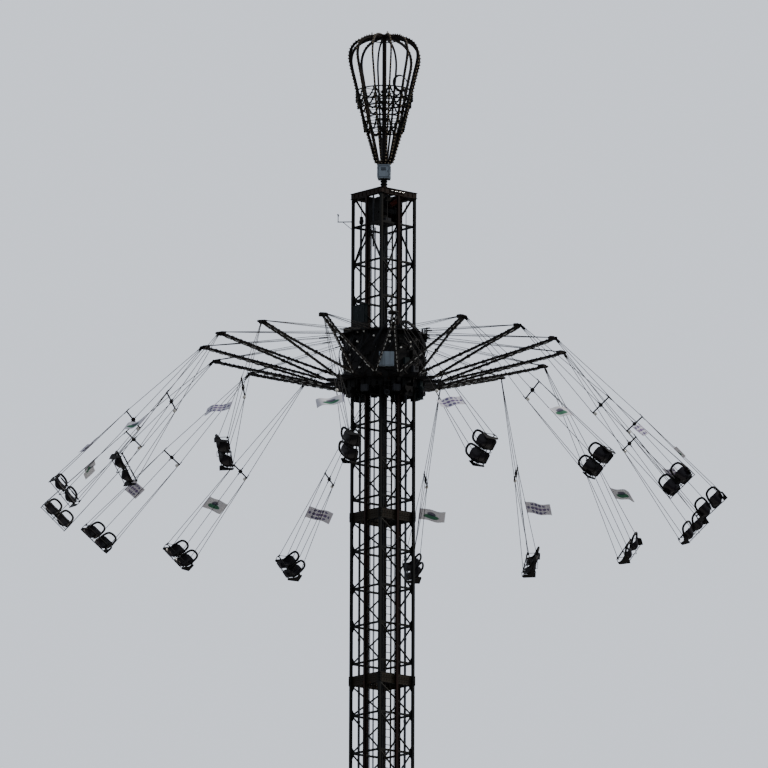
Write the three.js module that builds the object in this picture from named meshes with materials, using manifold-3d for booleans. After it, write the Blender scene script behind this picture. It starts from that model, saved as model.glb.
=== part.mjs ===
// Tower swing ride: a square lattice tower with a lift carriage, a turning hub with sixteen arms,
// and sixteen double seats that hang from the arm tips and fly out as the hub turns.
// Millimetres, +Z up. The origin is on the ground, in the middle of the base frame's underside.
// An azimuth is an angle about Z that starts at -Y and runs counter-clockwise seen from above.
import * as THREE from 'three';
import { mergeVertices } from 'three/addons/utils/BufferGeometryUtils.js';
import Module from 'manifold-3d';

const wasm = await Module();
wasm.setup();

// Fits
const seatGap = 0.3; // between two pieces that rest on each other
const bearingGap = 0.6; // at rollers and the slewing ring
const pinGap = 0.3;
const embed = 12; // how far a fused bar runs into what carries it
const weldTolerance = 0.01;

// Tower: square of four legs, in bolted sections
const crownTop = 33500;
const sectionHeight = 6000;
const legSpacing = 1580; // between leg centres
const legSize = 105;
const cleatProud = 12; // the joint plates stand out from the leg
const bandHeight = 360;
const firstBar = 1260; // below a joint
const barPitch = 1371;
const barHeight = 80;
const braceWidth = 85;
const sideDepth = 40;
const sideInset = 32; // from the leg centres in to the middle of the lattice
const edgeStrip = 24;
const lowestPanel = 600; // a shorter panel has no brace
const railWidth = 90;
const railDepth = 78;
const baseHeight = 200;
const baseWidth = 160;
const footSize = 460;
const footThickness = 40;
const middlePlate = 700;

// Crown
const crownDepth = 220;
const crownWidth = 160;
const beamSpread = 330; // from the middle to each beam under the mast
const beamWidth = 140;
const housingSize = 900;
const housingHeight = 960;
const kneeSize = 80;
const kneeDrop = 0.8; // of the housing's height

// Inside the tower
const ladderWidth = 300;
const ladderPlace = new THREE.Vector2(620, -250);
const stileWidth = 45;
const stileThickness = 22;
const rungPitch = 280;
const rungRadius = 18;
const conduitPlace = new THREE.Vector2(600, 575);
const conduitRadius = 45;
const spineRadius = 45;
const ropePlaceX = 480;
const ropePlaceY = 600;
const ropeRadius = 11;
const clampSize = 56;

// Mast and light cage on the crown; heights are above the crown's top
const postTop = 535;
const postRadius = 105;
const postRib = 135;
const postRibs = 5;
const ribFlat = 1 / 3; // of a rib's pitch is at full width
const ribSlope = 1 / 2;
const ribShaft = 0.9;
const mastCabinetSize = 480;
const mastCabinetTop = 1045;
const columnRadius = 80;
const collarRadius = 160;
const collarHeight = 40;
const collarSlope = 60;
const cageTop = 5950;
const ribCount = 12;
const ribDepth = 95;
const ribThickness = 60;
const ribProfile = [
  [90, 1085], [360, 1330], [560, 2010], [820, 3080], [1080, 4220], [1290, 4990], [1130, 5530], [90, 5930],
];
const ribSteps = 9;
const ribHeel = 20; // the ribs run this near the axis inside the column
const cageRings = [[2260, 625], [3240, 870], [4630, 1195], [5400, 1170]];
const ringDepth = 60;
const ringHeight = 90;

// Wind gauge on one leg
const gaugeDrop = 1040; // below the crown's top
const gaugeReach = 500;
const gaugeRise = 260;
const gaugeArm = 40;
const gaugeBar = 36;
const gaugeHalf = 90;

// Lift carriage round the tower
const hubTop = crownTop - 5030;
const hubBottom = crownTop - 7620;
const sleeveInner = 1276;
const sleeveOuter = 1345;
const sleeveRise = 40; // above the platform
const sleeveSides = 24;
const flangeOuter = 1440;
const flangeThickness = 120;
const rollerRadius = 90;
const rollerWidth = 84;
const rollerHeights = [hubTop - 200, hubBottom + 100];
const axleRadius = 20;
const cheekThickness = 24;
const cheekHeight = 200;
const cheekPlay = 8; // beside the roller
const equipmentSize = new THREE.Vector3(680, 170, 700);
const equipmentPlace = new THREE.Vector2(-45, -1060);
const shelfSpare = 60;

// Turning hub; the rotor is shown turned against the tower
const rotorTurn = THREE.MathUtils.degToRad(8);
const drumInner = 1378;
const drumOuter = 1460;
const drumSides = 32;
const platformOuter = 1570;
const platformThickness = 60;
const stayRingOuter = 1610; // below the platform, where the arms' stays start
const stayRingTop = crownTop - 5320;
const stayRingThickness = 60;
const panelWidth = 560;
const panelDepth = 150;
const panelTop = crownTop - 5760;
const panelAzimuth = THREE.MathUtils.degToRad(46);

// Arms
const armCount = 16;
const tipRadius = 6560;
const tipHeight = crownTop - 5820;
const nodeRadius = 2100; // neighbouring arms' chords meet here, halfway between the arms
const nodeHeight = crownTop - 7040;
const nodeHalf = 75;
const lugOuter = 1560; // between the nodes
const lugThickness = 110;
const chordSize = 78;
const joinRadius = 5400; // the two chords run side by side from here to the tip
const neckWidth = 210;
const neckDrop = 40; // below the pin
const neckLap = 120;
const stayRadius = 11;
const pinRadius = 24;
const pinSides = 8;
const blockNear = 60; // from the pin to the tip block
const blockFar = 250;
const blockWidth = 290;
const blockHeight = 120;
const forkThickness = 26;
const forkHeight = 80;
const forkNose = 40; // the fork runs this far past the pin

// Swings
const flyingAngle = THREE.MathUtils.degToRad(43.9);
const leadAngle = THREE.MathUtils.degToRad(29.7); // the swing plane runs ahead of the arm
const swingLength = 8230; // from the pin to the middle of the seats
const eyeOuter = 46;
const eyeLength = 220;
const hangerLength = 390;
const hangerHalf = 80;
const hangerNeck = 45;
const hangerShoulder = 140; // below the pin
const hangerThickness = 22;
const spreaderDrop = 4190;
const spreaderHalf = 410;
const spreaderSize = 60;
const nodeSize = new THREE.Vector3(130, 90, 110);
const hangerRadius = 14;
const flagSize = new THREE.Vector2(950, 500);
const flagPlace = 0.37; // of the way from the spreader down to the seat
const flagTrail = THREE.MathUtils.degToRad(12); // the flag flies back and inwards
const flagThickness = 8;
const seatHalf = 620;
const shellWall = 30;
const wingThickness = 40;
const seatRopeReach = 170;
const panDepth = 460;
const panDrop = 140; // the seat surface below the middle
const backHeight = 640;
const backLean = 130;
const armRise = 250; // the arm frames above the seat surface
const wingDrop = 10; // under the shell
const wingNose = 60;
const wingHeel = 70;
const frameSize = 40;
const lapInset = 50; // behind the front edge
const lapDrop = 30; // below the arm frames

const steel = { roughness: 0.55, metalness: 0.6 };
const darkSteel = new THREE.MeshStandardMaterial({ color: 0x2b2723, ...steel });
const bronzeSteel = new THREE.MeshStandardMaterial({ color: 0x5a4638, ...steel });
const railSteel = new THREE.MeshStandardMaterial({ color: 0x6b3f33, ...steel });
const greySteel = new THREE.MeshStandardMaterial({ color: 0x8d939b, ...steel });
const cabinetPaint = new THREE.MeshStandardMaterial({ color: 0xa9b6c4, roughness: 0.5, metalness: 0.2 });
const tealPaint = new THREE.MeshStandardMaterial({ color: 0x2f5358, roughness: 0.5, metalness: 0.2 });
const seatPlastic = new THREE.MeshStandardMaterial({ color: 0x23252b, roughness: 0.45, metalness: 0.05 });

// Solids
function toSolid(geometry, matrix = new THREE.Matrix4()) {
  const bare = geometry.clone().applyMatrix4(matrix);
  bare.deleteAttribute('normal');
  bare.deleteAttribute('uv');
  const merged = mergeVertices(bare, 1e-3);
  const mesh = new wasm.Mesh({
    numProp: 3,
    vertProperties: new Float32Array(merged.attributes.position.array),
    triVerts: new Uint32Array(merged.index.array),
  });
  return new wasm.Manifold(mesh);
}

function toGeometry(solid) {
  const mesh = solid.getMesh();
  const geometry = new THREE.BufferGeometry();
  geometry.setAttribute('position', new THREE.BufferAttribute(new Float32Array(mesh.vertProperties), 3));
  geometry.setIndex(new THREE.BufferAttribute(new Uint32Array(mesh.triVerts), 1));
  geometry.computeVertexNormals();
  return geometry;
}

function join(solids) {
  const whole = solids.reduce((sum, solid) => sum.add(solid));
  return whole.asOriginal().simplify(weldTolerance);
}

const at = (x, y, z) => new THREE.Matrix4().makeTranslation(x, y, z);
const turn = (azimuth) => new THREE.Matrix4().makeRotationZ(azimuth);

// A box on its underside's height.
function box(x, y, z, width, depth, height) {
  return toSolid(new THREE.BoxGeometry(width, depth, height), at(x, y, z + height / 2));
}

// A straight bar between two points, with a square section that stays level where it can.
function bar(from, to, width, height = width) {
  const along = to.clone().sub(from);
  const length = along.length();
  const forward = along.normalize();
  const level = Math.abs(forward.z) > 0.999 ? new THREE.Vector3(0, 1, 0) : new THREE.Vector3(0, 0, 1);
  const side = new THREE.Vector3().crossVectors(level, forward).normalize();
  const up = new THREE.Vector3().crossVectors(forward, side);
  const frame = new THREE.Matrix4().makeBasis(forward, side, up);
  frame.setPosition(from.clone().add(to).multiplyScalar(0.5));
  return toSolid(new THREE.BoxGeometry(length, width, height), frame);
}

function rod(from, to, radius, sides = 6) {
  const along = to.clone().sub(from);
  const length = along.length();
  const turned = new THREE.Quaternion().setFromUnitVectors(new THREE.Vector3(0, 1, 0), along.normalize());
  const frame = new THREE.Matrix4().makeRotationFromQuaternion(turned);
  frame.setPosition(from.clone().add(to).multiplyScalar(0.5));
  return toSolid(new THREE.CylinderGeometry(radius, radius, length, sides), frame);
}

// An upright ring of flat facets, its corners at the given radii.
function ring(inner, outer, bottom, top, sides) {
  const profile = [[inner, bottom], [outer, bottom], [outer, top], [inner, top], [inner, bottom]];
  const points = profile.map(([radius, height]) => new THREE.Vector2(radius, height));
  return toSolid(new THREE.LatheGeometry(points, sides), new THREE.Matrix4().makeRotationX(Math.PI / 2));
}

function extrude(outline, depth, matrix) {
  const shape = new THREE.Shape(outline);
  return toSolid(new THREE.ExtrudeGeometry(shape, { depth, bevelEnabled: false, curveSegments: 1 }), matrix);
}

// Scene graph
const ride = new THREE.Group();
ride.name = 'tower_swing_ride';

function add(name, solid, material, azimuth = 0) {
  const mesh = new THREE.Mesh(toGeometry(solid), material);
  mesh.name = name;
  mesh.rotation.z = azimuth;
  ride.add(mesh);
  return mesh;
}

const quarter = Math.PI / 2;
const armPitch = (2 * Math.PI) / armCount;
const halfSpacing = legSpacing / 2;
const crownBottom = crownTop - crownDepth;
const jointHeights = [];
for (let height = crownTop; height > 0; height -= sectionHeight) {
  jointHeights.push(height);
}
const lowerJoints = jointHeights.slice(1);

// Tower legs, with a thicker stretch at every joint
function towerLeg() {
  const bottom = footThickness + seatGap;
  const pieces = [box(halfSpacing, -halfSpacing, bottom, legSize, legSize, crownBottom - seatGap - bottom)];
  const cleat = legSize + cleatProud;
  const middle = halfSpacing + cleatProud / 2;
  for (const height of lowerJoints) {
    pieces.push(box(middle, -middle, height - bandHeight / 2, cleat, cleat, bandHeight));
  }
  return join(pieces);
}

// Tower sides: one flat lattice between two legs, cut out as triangles
function openPanel(bottom, top, half) {
  return [[[-half, bottom], [half, bottom], [half, top], [-half, top]]];
}

function bracedPanel(bottom, top, half) {
  const width = 2 * half;
  const height = top - bottom;
  const slant = Math.hypot(width, height);
  const across = (braceWidth / 2) * (slant / height);
  const down = (braceWidth / 2) * (slant / width);
  const lower = [[-half, bottom], [half - across, bottom], [-half, top - down]];
  const upper = [[half, top], [across - half, top], [half, bottom + down]];
  return [lower, upper];
}

// The crown's second panel is braced as an upturned V.
function vPanel(bottom, top, half) {
  const height = top - bottom;
  const slant = Math.hypot(half, height);
  const across = (braceWidth / 2) * (slant / height);
  const down = (braceWidth / 2) * (slant / half);
  const middle = [[across - half, bottom], [half - across, bottom], [0, top - down]];
  const left = [[-half, top], [-half, bottom + down], [-across, top]];
  const right = [[half, top], [across, top], [half, bottom + down]];
  return [middle, left, right];
}

// The openings of one section, from the joint at its top down.
function sectionHoles(joint, bottom, top, half) {
  const atCrown = joint === crownTop;
  const lowest = Math.max(joint - sectionHeight, 0);
  const floor = lowest === 0 ? bottom + barHeight : lowest + bandHeight / 2;
  const bars = [];
  for (let height = joint - firstBar; height > floor; height -= barPitch) {
    bars.push(height);
  }
  const ceiling = atCrown ? top - barHeight / 2 : joint - bandHeight / 2;
  const uppers = [ceiling, ...bars.map((height) => height - barHeight / 2)];
  const lowers = [...bars.map((height) => height + barHeight / 2), floor];
  return lowers.flatMap((lower, panel) => {
    const upper = uppers[panel];
    if ((atCrown && panel === 0) || upper - lower < lowestPanel) {
      return openPanel(lower, upper, half);
    }
    return atCrown && panel === 1 ? vPanel(lower, upper, half) : bracedPanel(lower, upper, half);
  });
}

const sidePlace = halfSpacing - sideInset; // of the lattice's middle
function towerSide() {
  const half = halfSpacing - legSize / 2 - seatGap;
  const bottom = baseHeight + seatGap;
  const top = crownBottom - seatGap;
  const outline = [[-half, bottom], [half, bottom], [half, top], [-half, top]];
  const holes = jointHeights.flatMap((joint) => sectionHoles(joint, bottom, top, half - edgeStrip));
  const plate = (corners, depth) => {
    const upright = new THREE.Matrix4().makeRotationX(quarter).setPosition(0, depth / 2 - sidePlace, 0);
    return extrude(corners.map(([x, y]) => new THREE.Vector2(x, y)), depth, upright);
  };
  return plate(outline, sideDepth).subtract(join(holes.map((corners) => plate(corners, 2 * sideDepth))));
}

const innerFace = sidePlace - sideDepth / 2 - seatGap; // of the lattice sides
const railFace = sidePlace + sideDepth / 2 + seatGap + railDepth;
function guideRail() {
  const bottom = baseHeight + seatGap;
  const height = crownBottom - seatGap - bottom;
  return box(0, -railFace + railDepth / 2, bottom, railWidth, railDepth, height);
}

const sideNames = ['south', 'east', 'north', 'west'];
const leg = towerLeg();
const side = towerSide();
const rail = guideRail();
sideNames.forEach((name, index) => {
  add(`tower_leg_${index + 1}`, leg, darkSteel, index * quarter);
  add(`tower_lattice_${name}`, side, darkSteel, index * quarter);
  add(`guide_rail_${name}`, rail, railSteel, index * quarter);
});

// Base frame on the ground
function baseFrame() {
  const pieces = [box(0, 0, 0, middlePlate, middlePlate, footThickness)];
  const gap = legSpacing - legSize - 2 * seatGap;
  const inset = halfSpacing - legSize;
  const middle = new THREE.Vector3(0, 0, baseHeight / 2);
  const corner = new THREE.Vector3(inset, -inset, baseHeight / 2);
  const quarterPieces = [
    box(halfSpacing, -halfSpacing, 0, footSize, footSize, footThickness),
    box(0, -halfSpacing, 0, gap, baseWidth, baseHeight),
    bar(middle, corner, baseWidth, baseHeight),
  ];
  for (let index = 0; index < 4; index += 1) {
    const turned = turn(index * quarter).elements;
    pieces.push(...quarterPieces.map((piece) => piece.transform(turned)));
  }
  return join(pieces);
}
add('base_frame', baseFrame(), darkSteel);

// Ladder inside the tower, held to the east side at every joint
function ladder() {
  const { x, y } = ladderPlace;
  const sides = [y - ladderWidth / 2, y + ladderWidth / 2];
  const bottom = baseHeight + rungPitch / 2;
  const height = crownTop - firstBar - rungPitch - bottom;
  const pieces = sides.map((place) => box(x, place, bottom, stileWidth, stileThickness, height));
  for (let rung = bottom + rungPitch / 2; rung < bottom + height; rung += rungPitch) {
    const [left, right] = sides.map((place) => new THREE.Vector3(x, place, rung));
    pieces.push(rod(left, right, rungRadius, 3));
  }
  const reach = innerFace - x;
  for (const joint of lowerJoints) {
    for (const place of sides) {
      const low = joint - stileWidth / 2;
      pieces.push(box(x + reach / 2, place, low, reach, stileThickness, stileWidth));
    }
  }
  return join(pieces);
}
add('ladder', ladder(), bronzeSteel);

// Conduits, spine pipe and hoist ropes inside the tower, in clamps at every joint
function serviceRun() {
  const bottom = baseHeight + rungPitch;
  const top = crownBottom - housingHeight - 2 * seatGap;
  const upright = (x, y, radius, sides) => {
    const foot = new THREE.Vector3(x, y, bottom);
    return rod(foot, foot.clone().setZ(top), radius, sides);
  };
  const pieces = [
    upright(0, 0, spineRadius, 8),
    upright(-conduitPlace.x, -conduitPlace.y, conduitRadius, 6),
    upright(conduitPlace.x, conduitPlace.y, conduitRadius, 6),
    upright(-ropePlaceX, 0, ropeRadius, 3),
    upright(ropePlaceX, 0, ropeRadius, 3),
    upright(0, -ropePlaceY, ropeRadius, 3),
    upright(0, ropePlaceY, ropeRadius, 3),
  ];
  for (const joint of lowerJoints) {
    const height = joint - clampSize / 2;
    const far = new THREE.Vector3(conduitPlace.x, conduitPlace.y, joint);
    const opposite = new THREE.Vector3(-conduitPlace.x, -conduitPlace.y, joint);
    pieces.push(box(0, 0, height, 2 * innerFace, clampSize, clampSize));
    pieces.push(box(0, 0, height, clampSize, 2 * innerFace, clampSize));
    pieces.push(bar(opposite, far, clampSize));
  }
  return join(pieces);
}
add('service_run', serviceRun(), greySteel);

// Crown: square frame on the legs, two beams under the mast, knee braces to the sheave housing
const housingTop = crownBottom - seatGap;
const housingBottom = housingTop - housingHeight;
function knee() {
  const reach = halfSpacing - crownWidth / 2 + embed;
  const foot = housingSize / 2 - kneeSize / 2;
  const low = new THREE.Vector3(foot, -foot, housingTop - housingHeight * kneeDrop);
  const high = new THREE.Vector3(reach, -reach, crownBottom + kneeSize / 2);
  const room = legSize + 2 * seatGap;
  const legRoom = box(halfSpacing, -halfSpacing, housingBottom, room, room, housingHeight);
  const eastRoom = box(innerFace + room / 2, 0, housingBottom, room, legSpacing, housingHeight);
  const southRoom = box(0, -innerFace - room / 2, housingBottom, legSpacing, room, housingHeight);
  return bar(high, low, kneeSize).subtract(join([legRoom, eastRoom, southRoom]));
}

function crownFrame() {
  const beam = box(0, -halfSpacing, crownBottom, legSpacing + crownWidth, crownWidth, crownDepth);
  const pieces = [box(0, 0, crownTop - footThickness, middlePlate, middlePlate, footThickness)];
  for (let index = 0; index < 4; index += 1) {
    const turned = turn(index * quarter).elements;
    pieces.push(beam.transform(turned), knee().transform(turned));
  }
  for (const offset of [-beamSpread, beamSpread]) {
    pieces.push(box(0, offset, crownBottom, legSpacing, beamWidth, crownDepth));
  }
  const clear = housingSize + 2 * seatGap;
  const bay = box(0, 0, housingBottom - housingHeight, clear, clear, 2 * housingHeight);
  return join(pieces).subtract(bay);
}
add('crown_frame', crownFrame(), bronzeSteel);
const housing = box(0, 0, housingBottom, housingSize, housingSize, housingHeight - seatGap);
add('sheave_housing', housing, darkSteel);

// Mast on the crown
function lathe(profile, sides) {
  const points = profile.map(([radius, height]) => new THREE.Vector2(radius, height));
  return toSolid(new THREE.LatheGeometry(points, sides), new THREE.Matrix4().makeRotationX(Math.PI / 2));
}
function mastPost() {
  const pitch = postTop / postRibs;
  const low = crownTop + seatGap;
  const high = crownTop + postTop - seatGap;
  const profile = [[0, low]];
  for (let index = 0; index < postRibs; index += 1) {
    const foot = low + index * pitch;
    profile.push([postRib, foot], [postRib, foot + pitch * ribFlat]);
    profile.push([postRadius, foot + pitch * ribSlope], [postRadius, foot + pitch * ribShaft]);
  }
  profile.push([postRib, high], [0, high]);
  return lathe(profile, 8);
}
add('mast_post', mastPost(), greySteel);
const mastCabinet = box(
  0, 0, crownTop + postTop, mastCabinetSize, mastCabinetSize, mastCabinetTop - postTop);
add('mast_cabinet', mastCabinet, cabinetPaint);

// Light cage: ribs bowed out from a column, with hoops
function cageRib() {
  const bends = ribProfile.map(([radius, height]) => new THREE.Vector2(radius, height));
  const curve = new THREE.SplineCurve(bends);
  const outer = curve.getSpacedPoints(ribSteps);
  const inner = outer.map((point, index) => {
    const tangent = curve.getTangentAt(index / ribSteps);
    const radius = Math.max(point.x - tangent.y * ribDepth, ribHeel);
    return new THREE.Vector2(radius, point.y + tangent.x * ribDepth);
  });
  inner[0].set(ribHeel, outer[0].y);
  inner[ribSteps].set(ribHeel, outer[ribSteps].y);
  const upright = new THREE.Matrix4().makeRotationX(quarter).setPosition(0, ribThickness / 2, crownTop);
  return extrude([...outer, ...inner.reverse()], ribThickness, upright);
}

function lightCage() {
  const floor = crownTop + mastCabinetTop + seatGap;
  const column = [
    [0, floor], [collarRadius, floor], [collarRadius, floor + collarHeight],
    [columnRadius, floor + collarSlope], [columnRadius, crownTop + cageTop], [0, crownTop + cageTop],
  ];
  const pieces = [lathe(column, ribCount)];
  const rib = cageRib();
  for (let index = 0; index < ribCount; index += 1) {
    pieces.push(rib.transform(turn((index * 2 * Math.PI) / ribCount).elements));
  }
  for (const [height, radius] of cageRings) {
    const bottom = crownTop + height - ringHeight / 2;
    pieces.push(ring(radius - ringDepth, radius, bottom, bottom + ringHeight, 2 * ribCount));
  }
  return join(pieces);
}
add('light_cage', lightCage(), bronzeSteel);

// Wind gauge on the south-west leg
function windGauge() {
  const out = new THREE.Vector3(-Math.SQRT1_2, -Math.SQRT1_2, 0);
  const start = (halfSpacing + legSize / 2) * Math.SQRT2 + seatGap;
  const height = crownTop - gaugeDrop;
  const spot = (reach, rise) => out.clone().multiplyScalar(start + reach).setZ(height + rise);
  const mast = gaugeReach - gaugeArm / 2;
  return join([
    bar(spot(0, 0), spot(gaugeReach, 0), gaugeArm),
    bar(spot(mast, -gaugeArm / 2), spot(mast, gaugeRise), gaugeBar),
    bar(spot(mast - gaugeHalf, gaugeRise), spot(mast + gaugeHalf, gaugeRise), gaugeBar),
  ]);
}
add('wind_gauge', windGauge(), greySteel);

// Lift carriage: sleeve round the tower, roller units on the rails, flange that carries the hub
function rollerUnit(height) {
  const centre = railFace + bearingGap + rollerRadius;
  const across = (half, radius, sides) => rod(
    new THREE.Vector3(-half, -centre, height), new THREE.Vector3(half, -centre, height), radius, sides);
  const near = centre - rollerRadius / 2;
  const reach = sleeveInner + embed - near;
  const offset = rollerWidth / 2 + cheekPlay + cheekThickness / 2;
  const cheeks = [-offset, offset].map((x) => box(
    x, -near - reach / 2, height - cheekHeight / 2, cheekThickness, reach, cheekHeight));
  const roller = across(rollerWidth / 2, rollerRadius, 8);
  const axle = across(offset + cheekThickness / 2, axleRadius, 4);
  return [roller, axle, ...cheeks];
}

function carriage() {
  const bottom = hubBottom - bearingGap - flangeThickness;
  const top = hubTop + sleeveRise;
  const pieces = [
    ring(sleeveInner, sleeveOuter, bottom, top, sleeveSides),
    ring(sleeveInner, flangeOuter, bottom, bottom + flangeThickness, sleeveSides),
  ];
  for (let index = 0; index < 4; index += 1) {
    const turned = turn(index * quarter).elements;
    const units = rollerHeights.flatMap((height) => rollerUnit(height));
    pieces.push(...units.map((piece) => piece.transform(turned)));
  }
  const { x, y } = equipmentPlace;
  const shelfDepth = equipmentSize.y + 2 * shelfSpare;
  pieces.push(box(x, y - shelfSpare / 2, hubTop, equipmentSize.x, shelfDepth, sleeveRise));
  return join(pieces);
}
add('lift_carriage', carriage(), darkSteel);
const shelf = hubTop + sleeveRise + seatGap;
const equipment = box(equipmentPlace.x, equipmentPlace.y, shelf, ...equipmentSize.toArray());
add('carriage_cabinet', equipment, tealPaint);

// Turning hub
const drumTop = hubTop - platformThickness - seatGap;
function stayRing(spare) {
  const bottom = stayRingTop - stayRingThickness;
  return ring(drumInner, stayRingOuter + spare, bottom - spare, stayRingTop + spare, drumSides);
}
const drum = join([ring(drumInner, drumOuter, hubBottom, drumTop, drumSides), stayRing(0)]);
add('hub_drum', drum, bronzeSteel, rotorTurn);

const platform = ring(drumInner, platformOuter, hubTop - platformThickness, hubTop, drumSides);
add('hub_platform', platform, darkSteel, rotorTurn);

function hubCabinet() {
  const inside = drumOuter - panelDepth;
  const depth = 2 * panelDepth;
  const block = box(0, -inside - depth / 2, panelTop - panelWidth, panelWidth, depth, panelWidth);
  const radius = drumOuter + seatGap;
  const inner = lathe([[0, 0], [radius, 0], [radius, crownTop], [0, crownTop]], drumSides);
  return block.transform(turn(panelAzimuth).elements).subtract(inner);
}
add('hub_cabinet', hubCabinet(), cabinetPaint, rotorTurn);

// Arms, each with its root lug on the drum and its fork and pin at the tip
function around(azimuth, radius, height, ahead = 0) {
  const x = radius * Math.sin(azimuth) + ahead * Math.cos(azimuth);
  const y = -radius * Math.cos(azimuth) + ahead * Math.sin(azimuth);
  return new THREE.Vector3(x, y, height);
}

// Each arm has its own sector of the hub, and reaches its two edges at the nodes.
const sectorHalf = armPitch / 2 - seatGap / drumOuter;
function onPlan(azimuth, radius, ahead = 0) {
  const place = around(azimuth, radius, 0, ahead);
  return new THREE.Vector2(place.x, place.y);
}

function sector() {
  const far = 2 * tipRadius;
  const outline = [new THREE.Vector2(0, 0), onPlan(-sectorHalf, far), onPlan(sectorHalf, far)];
  return extrude(outline, crownTop, at(0, 0, 0));
}

// The lug covers the two drum facets that meet at the arm, and runs out to the nodes.
function rootLug() {
  const inner = drumOuter + 2 * seatGap;
  const outline = [
    onPlan(-sectorHalf, inner), onPlan(-sectorHalf, nodeRadius), onPlan(-sectorHalf, nodeRadius, nodeHalf),
    onPlan(0, lugOuter), onPlan(sectorHalf, nodeRadius, -nodeHalf), onPlan(sectorHalf, nodeRadius),
    onPlan(sectorHalf, inner), onPlan(0, inner),
  ];
  return extrude(outline, lugThickness, at(0, 0, nodeHeight - lugThickness / 2));
}

// The tip block points along the swing plane, which runs ahead of the arm.
function tipFork() {
  const frame = turn(leadAngle);
  frame.setPosition(0, -tipRadius, tipHeight);
  const depth = blockFar - blockNear;
  const offset = blockWidth / 2 - forkThickness / 2;
  const forkDepth = forkNose + 2 * blockNear - embed;
  const pieces = [box(0, blockNear + depth / 2, -blockHeight / 2, blockWidth, depth, blockHeight)];
  for (const x of [-offset, offset]) {
    const middle = forkDepth / 2 - forkNose;
    pieces.push(box(x, middle, -forkHeight / 2, forkThickness, forkDepth, forkHeight));
  }
  pieces.push(rod(new THREE.Vector3(-offset, 0, 0), new THREE.Vector3(offset, 0, 0), pinRadius, pinSides));
  return pieces.map((piece) => piece.transform(frame.elements));
}

function arm() {
  const blockMiddle = (blockNear + blockFar) / 2;
  const end = around(0, tipRadius - blockMiddle, tipHeight - neckDrop);
  const middle = around(0, nodeRadius, nodeHeight);
  const along = (radius, ahead = 0) => {
    const share = (radius - nodeRadius) / (tipRadius - blockMiddle - nodeRadius);
    return middle.clone().lerp(end, share).add(new THREE.Vector3(ahead, 0, 0));
  };
  const room = sector();
  const neckHalf = (neckWidth - chordSize) / 2;
  const pieces = [rootLug(), ...tipFork(), bar(along(joinRadius - neckLap), end, neckWidth, chordSize)];
  for (const sign of [-1, 1]) {
    const node = around((sign * armPitch) / 2, nodeRadius, nodeHeight);
    pieces.push(bar(node, along(joinRadius, sign * neckHalf), chordSize).intersect(room));
  }
  const high = around(0, stayRingOuter - embed, stayRingTop - stayRingThickness / 2);
  const low = around(0, tipRadius - blockMiddle, tipHeight + blockHeight / 2 - embed);
  pieces.push(rod(high, low, stayRadius, 3).subtract(stayRing(seatGap)));
  return join(pieces);
}
const armSolid = arm();
for (let index = 0; index < armCount; index += 1) {
  const name = `arm_${String(index + 1).padStart(2, '0')}`;
  add(name, armSolid, bronzeSteel, rotorTurn + index * armPitch);
}

// Swings: built hanging straight down from the pin, with +X in the swing plane and +Y the way the seats face
const seatSurface = -swingLength - panDrop;
const seatRopeFoot = seatSurface + armRise - lapDrop;
const sidePlate = seatHalf - wingThickness / 2; // from the middle

// A flat plate across local X, from an outline of [forward, height above the seat surface].
function plateAcross(outline, x, thickness) {
  const place = new THREE.Matrix4().makeBasis(
    new THREE.Vector3(0, 1, 0), new THREE.Vector3(0, 0, 1), new THREE.Vector3(1, 0, 0));
  place.setPosition(x - thickness / 2, 0, seatSurface);
  return extrude(outline.map(([forward, height]) => new THREE.Vector2(forward, height)), thickness, place);
}

function doubleSeat() {
  const back = -panDepth / 2;
  const front = panDepth / 2;
  const shell = [
    [back - backLean - shellWall, backHeight], [back - shellWall, -shellWall], [front, -shellWall],
    [front, 0], [back, 0], [back - backLean, backHeight],
  ];
  const under = -shellWall - wingDrop;
  const wing = [
    [back - shellWall, under], [front, under], [front, armRise - wingNose],
    [front - wingNose, armRise], [back - wingHeel, armRise],
  ];
  const lap = (x) => new THREE.Vector3(x, front - lapInset, seatRopeFoot);
  return [
    plateAcross(shell, 0, 2 * seatHalf - wingThickness),
    ...[-sidePlate, 0, sidePlate].map((x) => plateAcross(wing, x, wingThickness)),
    bar(lap(-sidePlate), lap(sidePlate), frameSize),
  ];
}

// The eye turns on the pin and carries the hanger plate.
function swingHead() {
  const bore = (pinRadius + pinGap) / Math.cos(Math.PI / pinSides);
  const facetsToCorners = new THREE.Matrix4().makeRotationY(Math.PI / pinSides);
  const half = eyeLength / 2;
  const section = [[bore, -half], [eyeOuter, -half], [eyeOuter, half], [bore, half], [bore, -half]];
  const eye = section.map(([radius, height]) => new THREE.Vector2(radius, height));
  const neck = -(bore + eyeOuter) / 2;
  const outline = [
    [hangerNeck, neck], [-hangerNeck, neck], [-hangerHalf, -hangerShoulder], [-hangerHalf, -hangerLength],
    [hangerHalf, -hangerLength], [hangerHalf, -hangerShoulder],
  ].map(([x, z]) => new THREE.Vector2(x, z));
  const upright = new THREE.Matrix4().makeRotationX(quarter).setPosition(0, hangerThickness / 2, 0);
  return [
    toSolid(new THREE.LatheGeometry(eye, pinSides), facetsToCorners),
    extrude(outline, hangerThickness, upright),
  ];
}

function swingRopes() {
  const point = (x, y, height) => new THREE.Vector3(x, y, height);
  const top = embed - hangerLength;
  const ropes = [];
  for (const sign of [-1, 0, 1]) {
    const spreaderEnd = point(sign * (spreaderHalf - embed), 0, -spreaderDrop);
    ropes.push([point(sign * (hangerHalf - 2 * embed), 0, top), spreaderEnd]);
    const reaches = sign === 0 ? [0] : [-seatRopeReach, seatRopeReach];
    const foot = sign * sidePlate;
    ropes.push(...reaches.map((reach) => [spreaderEnd, point(foot, reach, seatRopeFoot)]));
  }
  return ropes.map(([high, low]) => rod(high, low, hangerRadius, 3));
}

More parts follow.
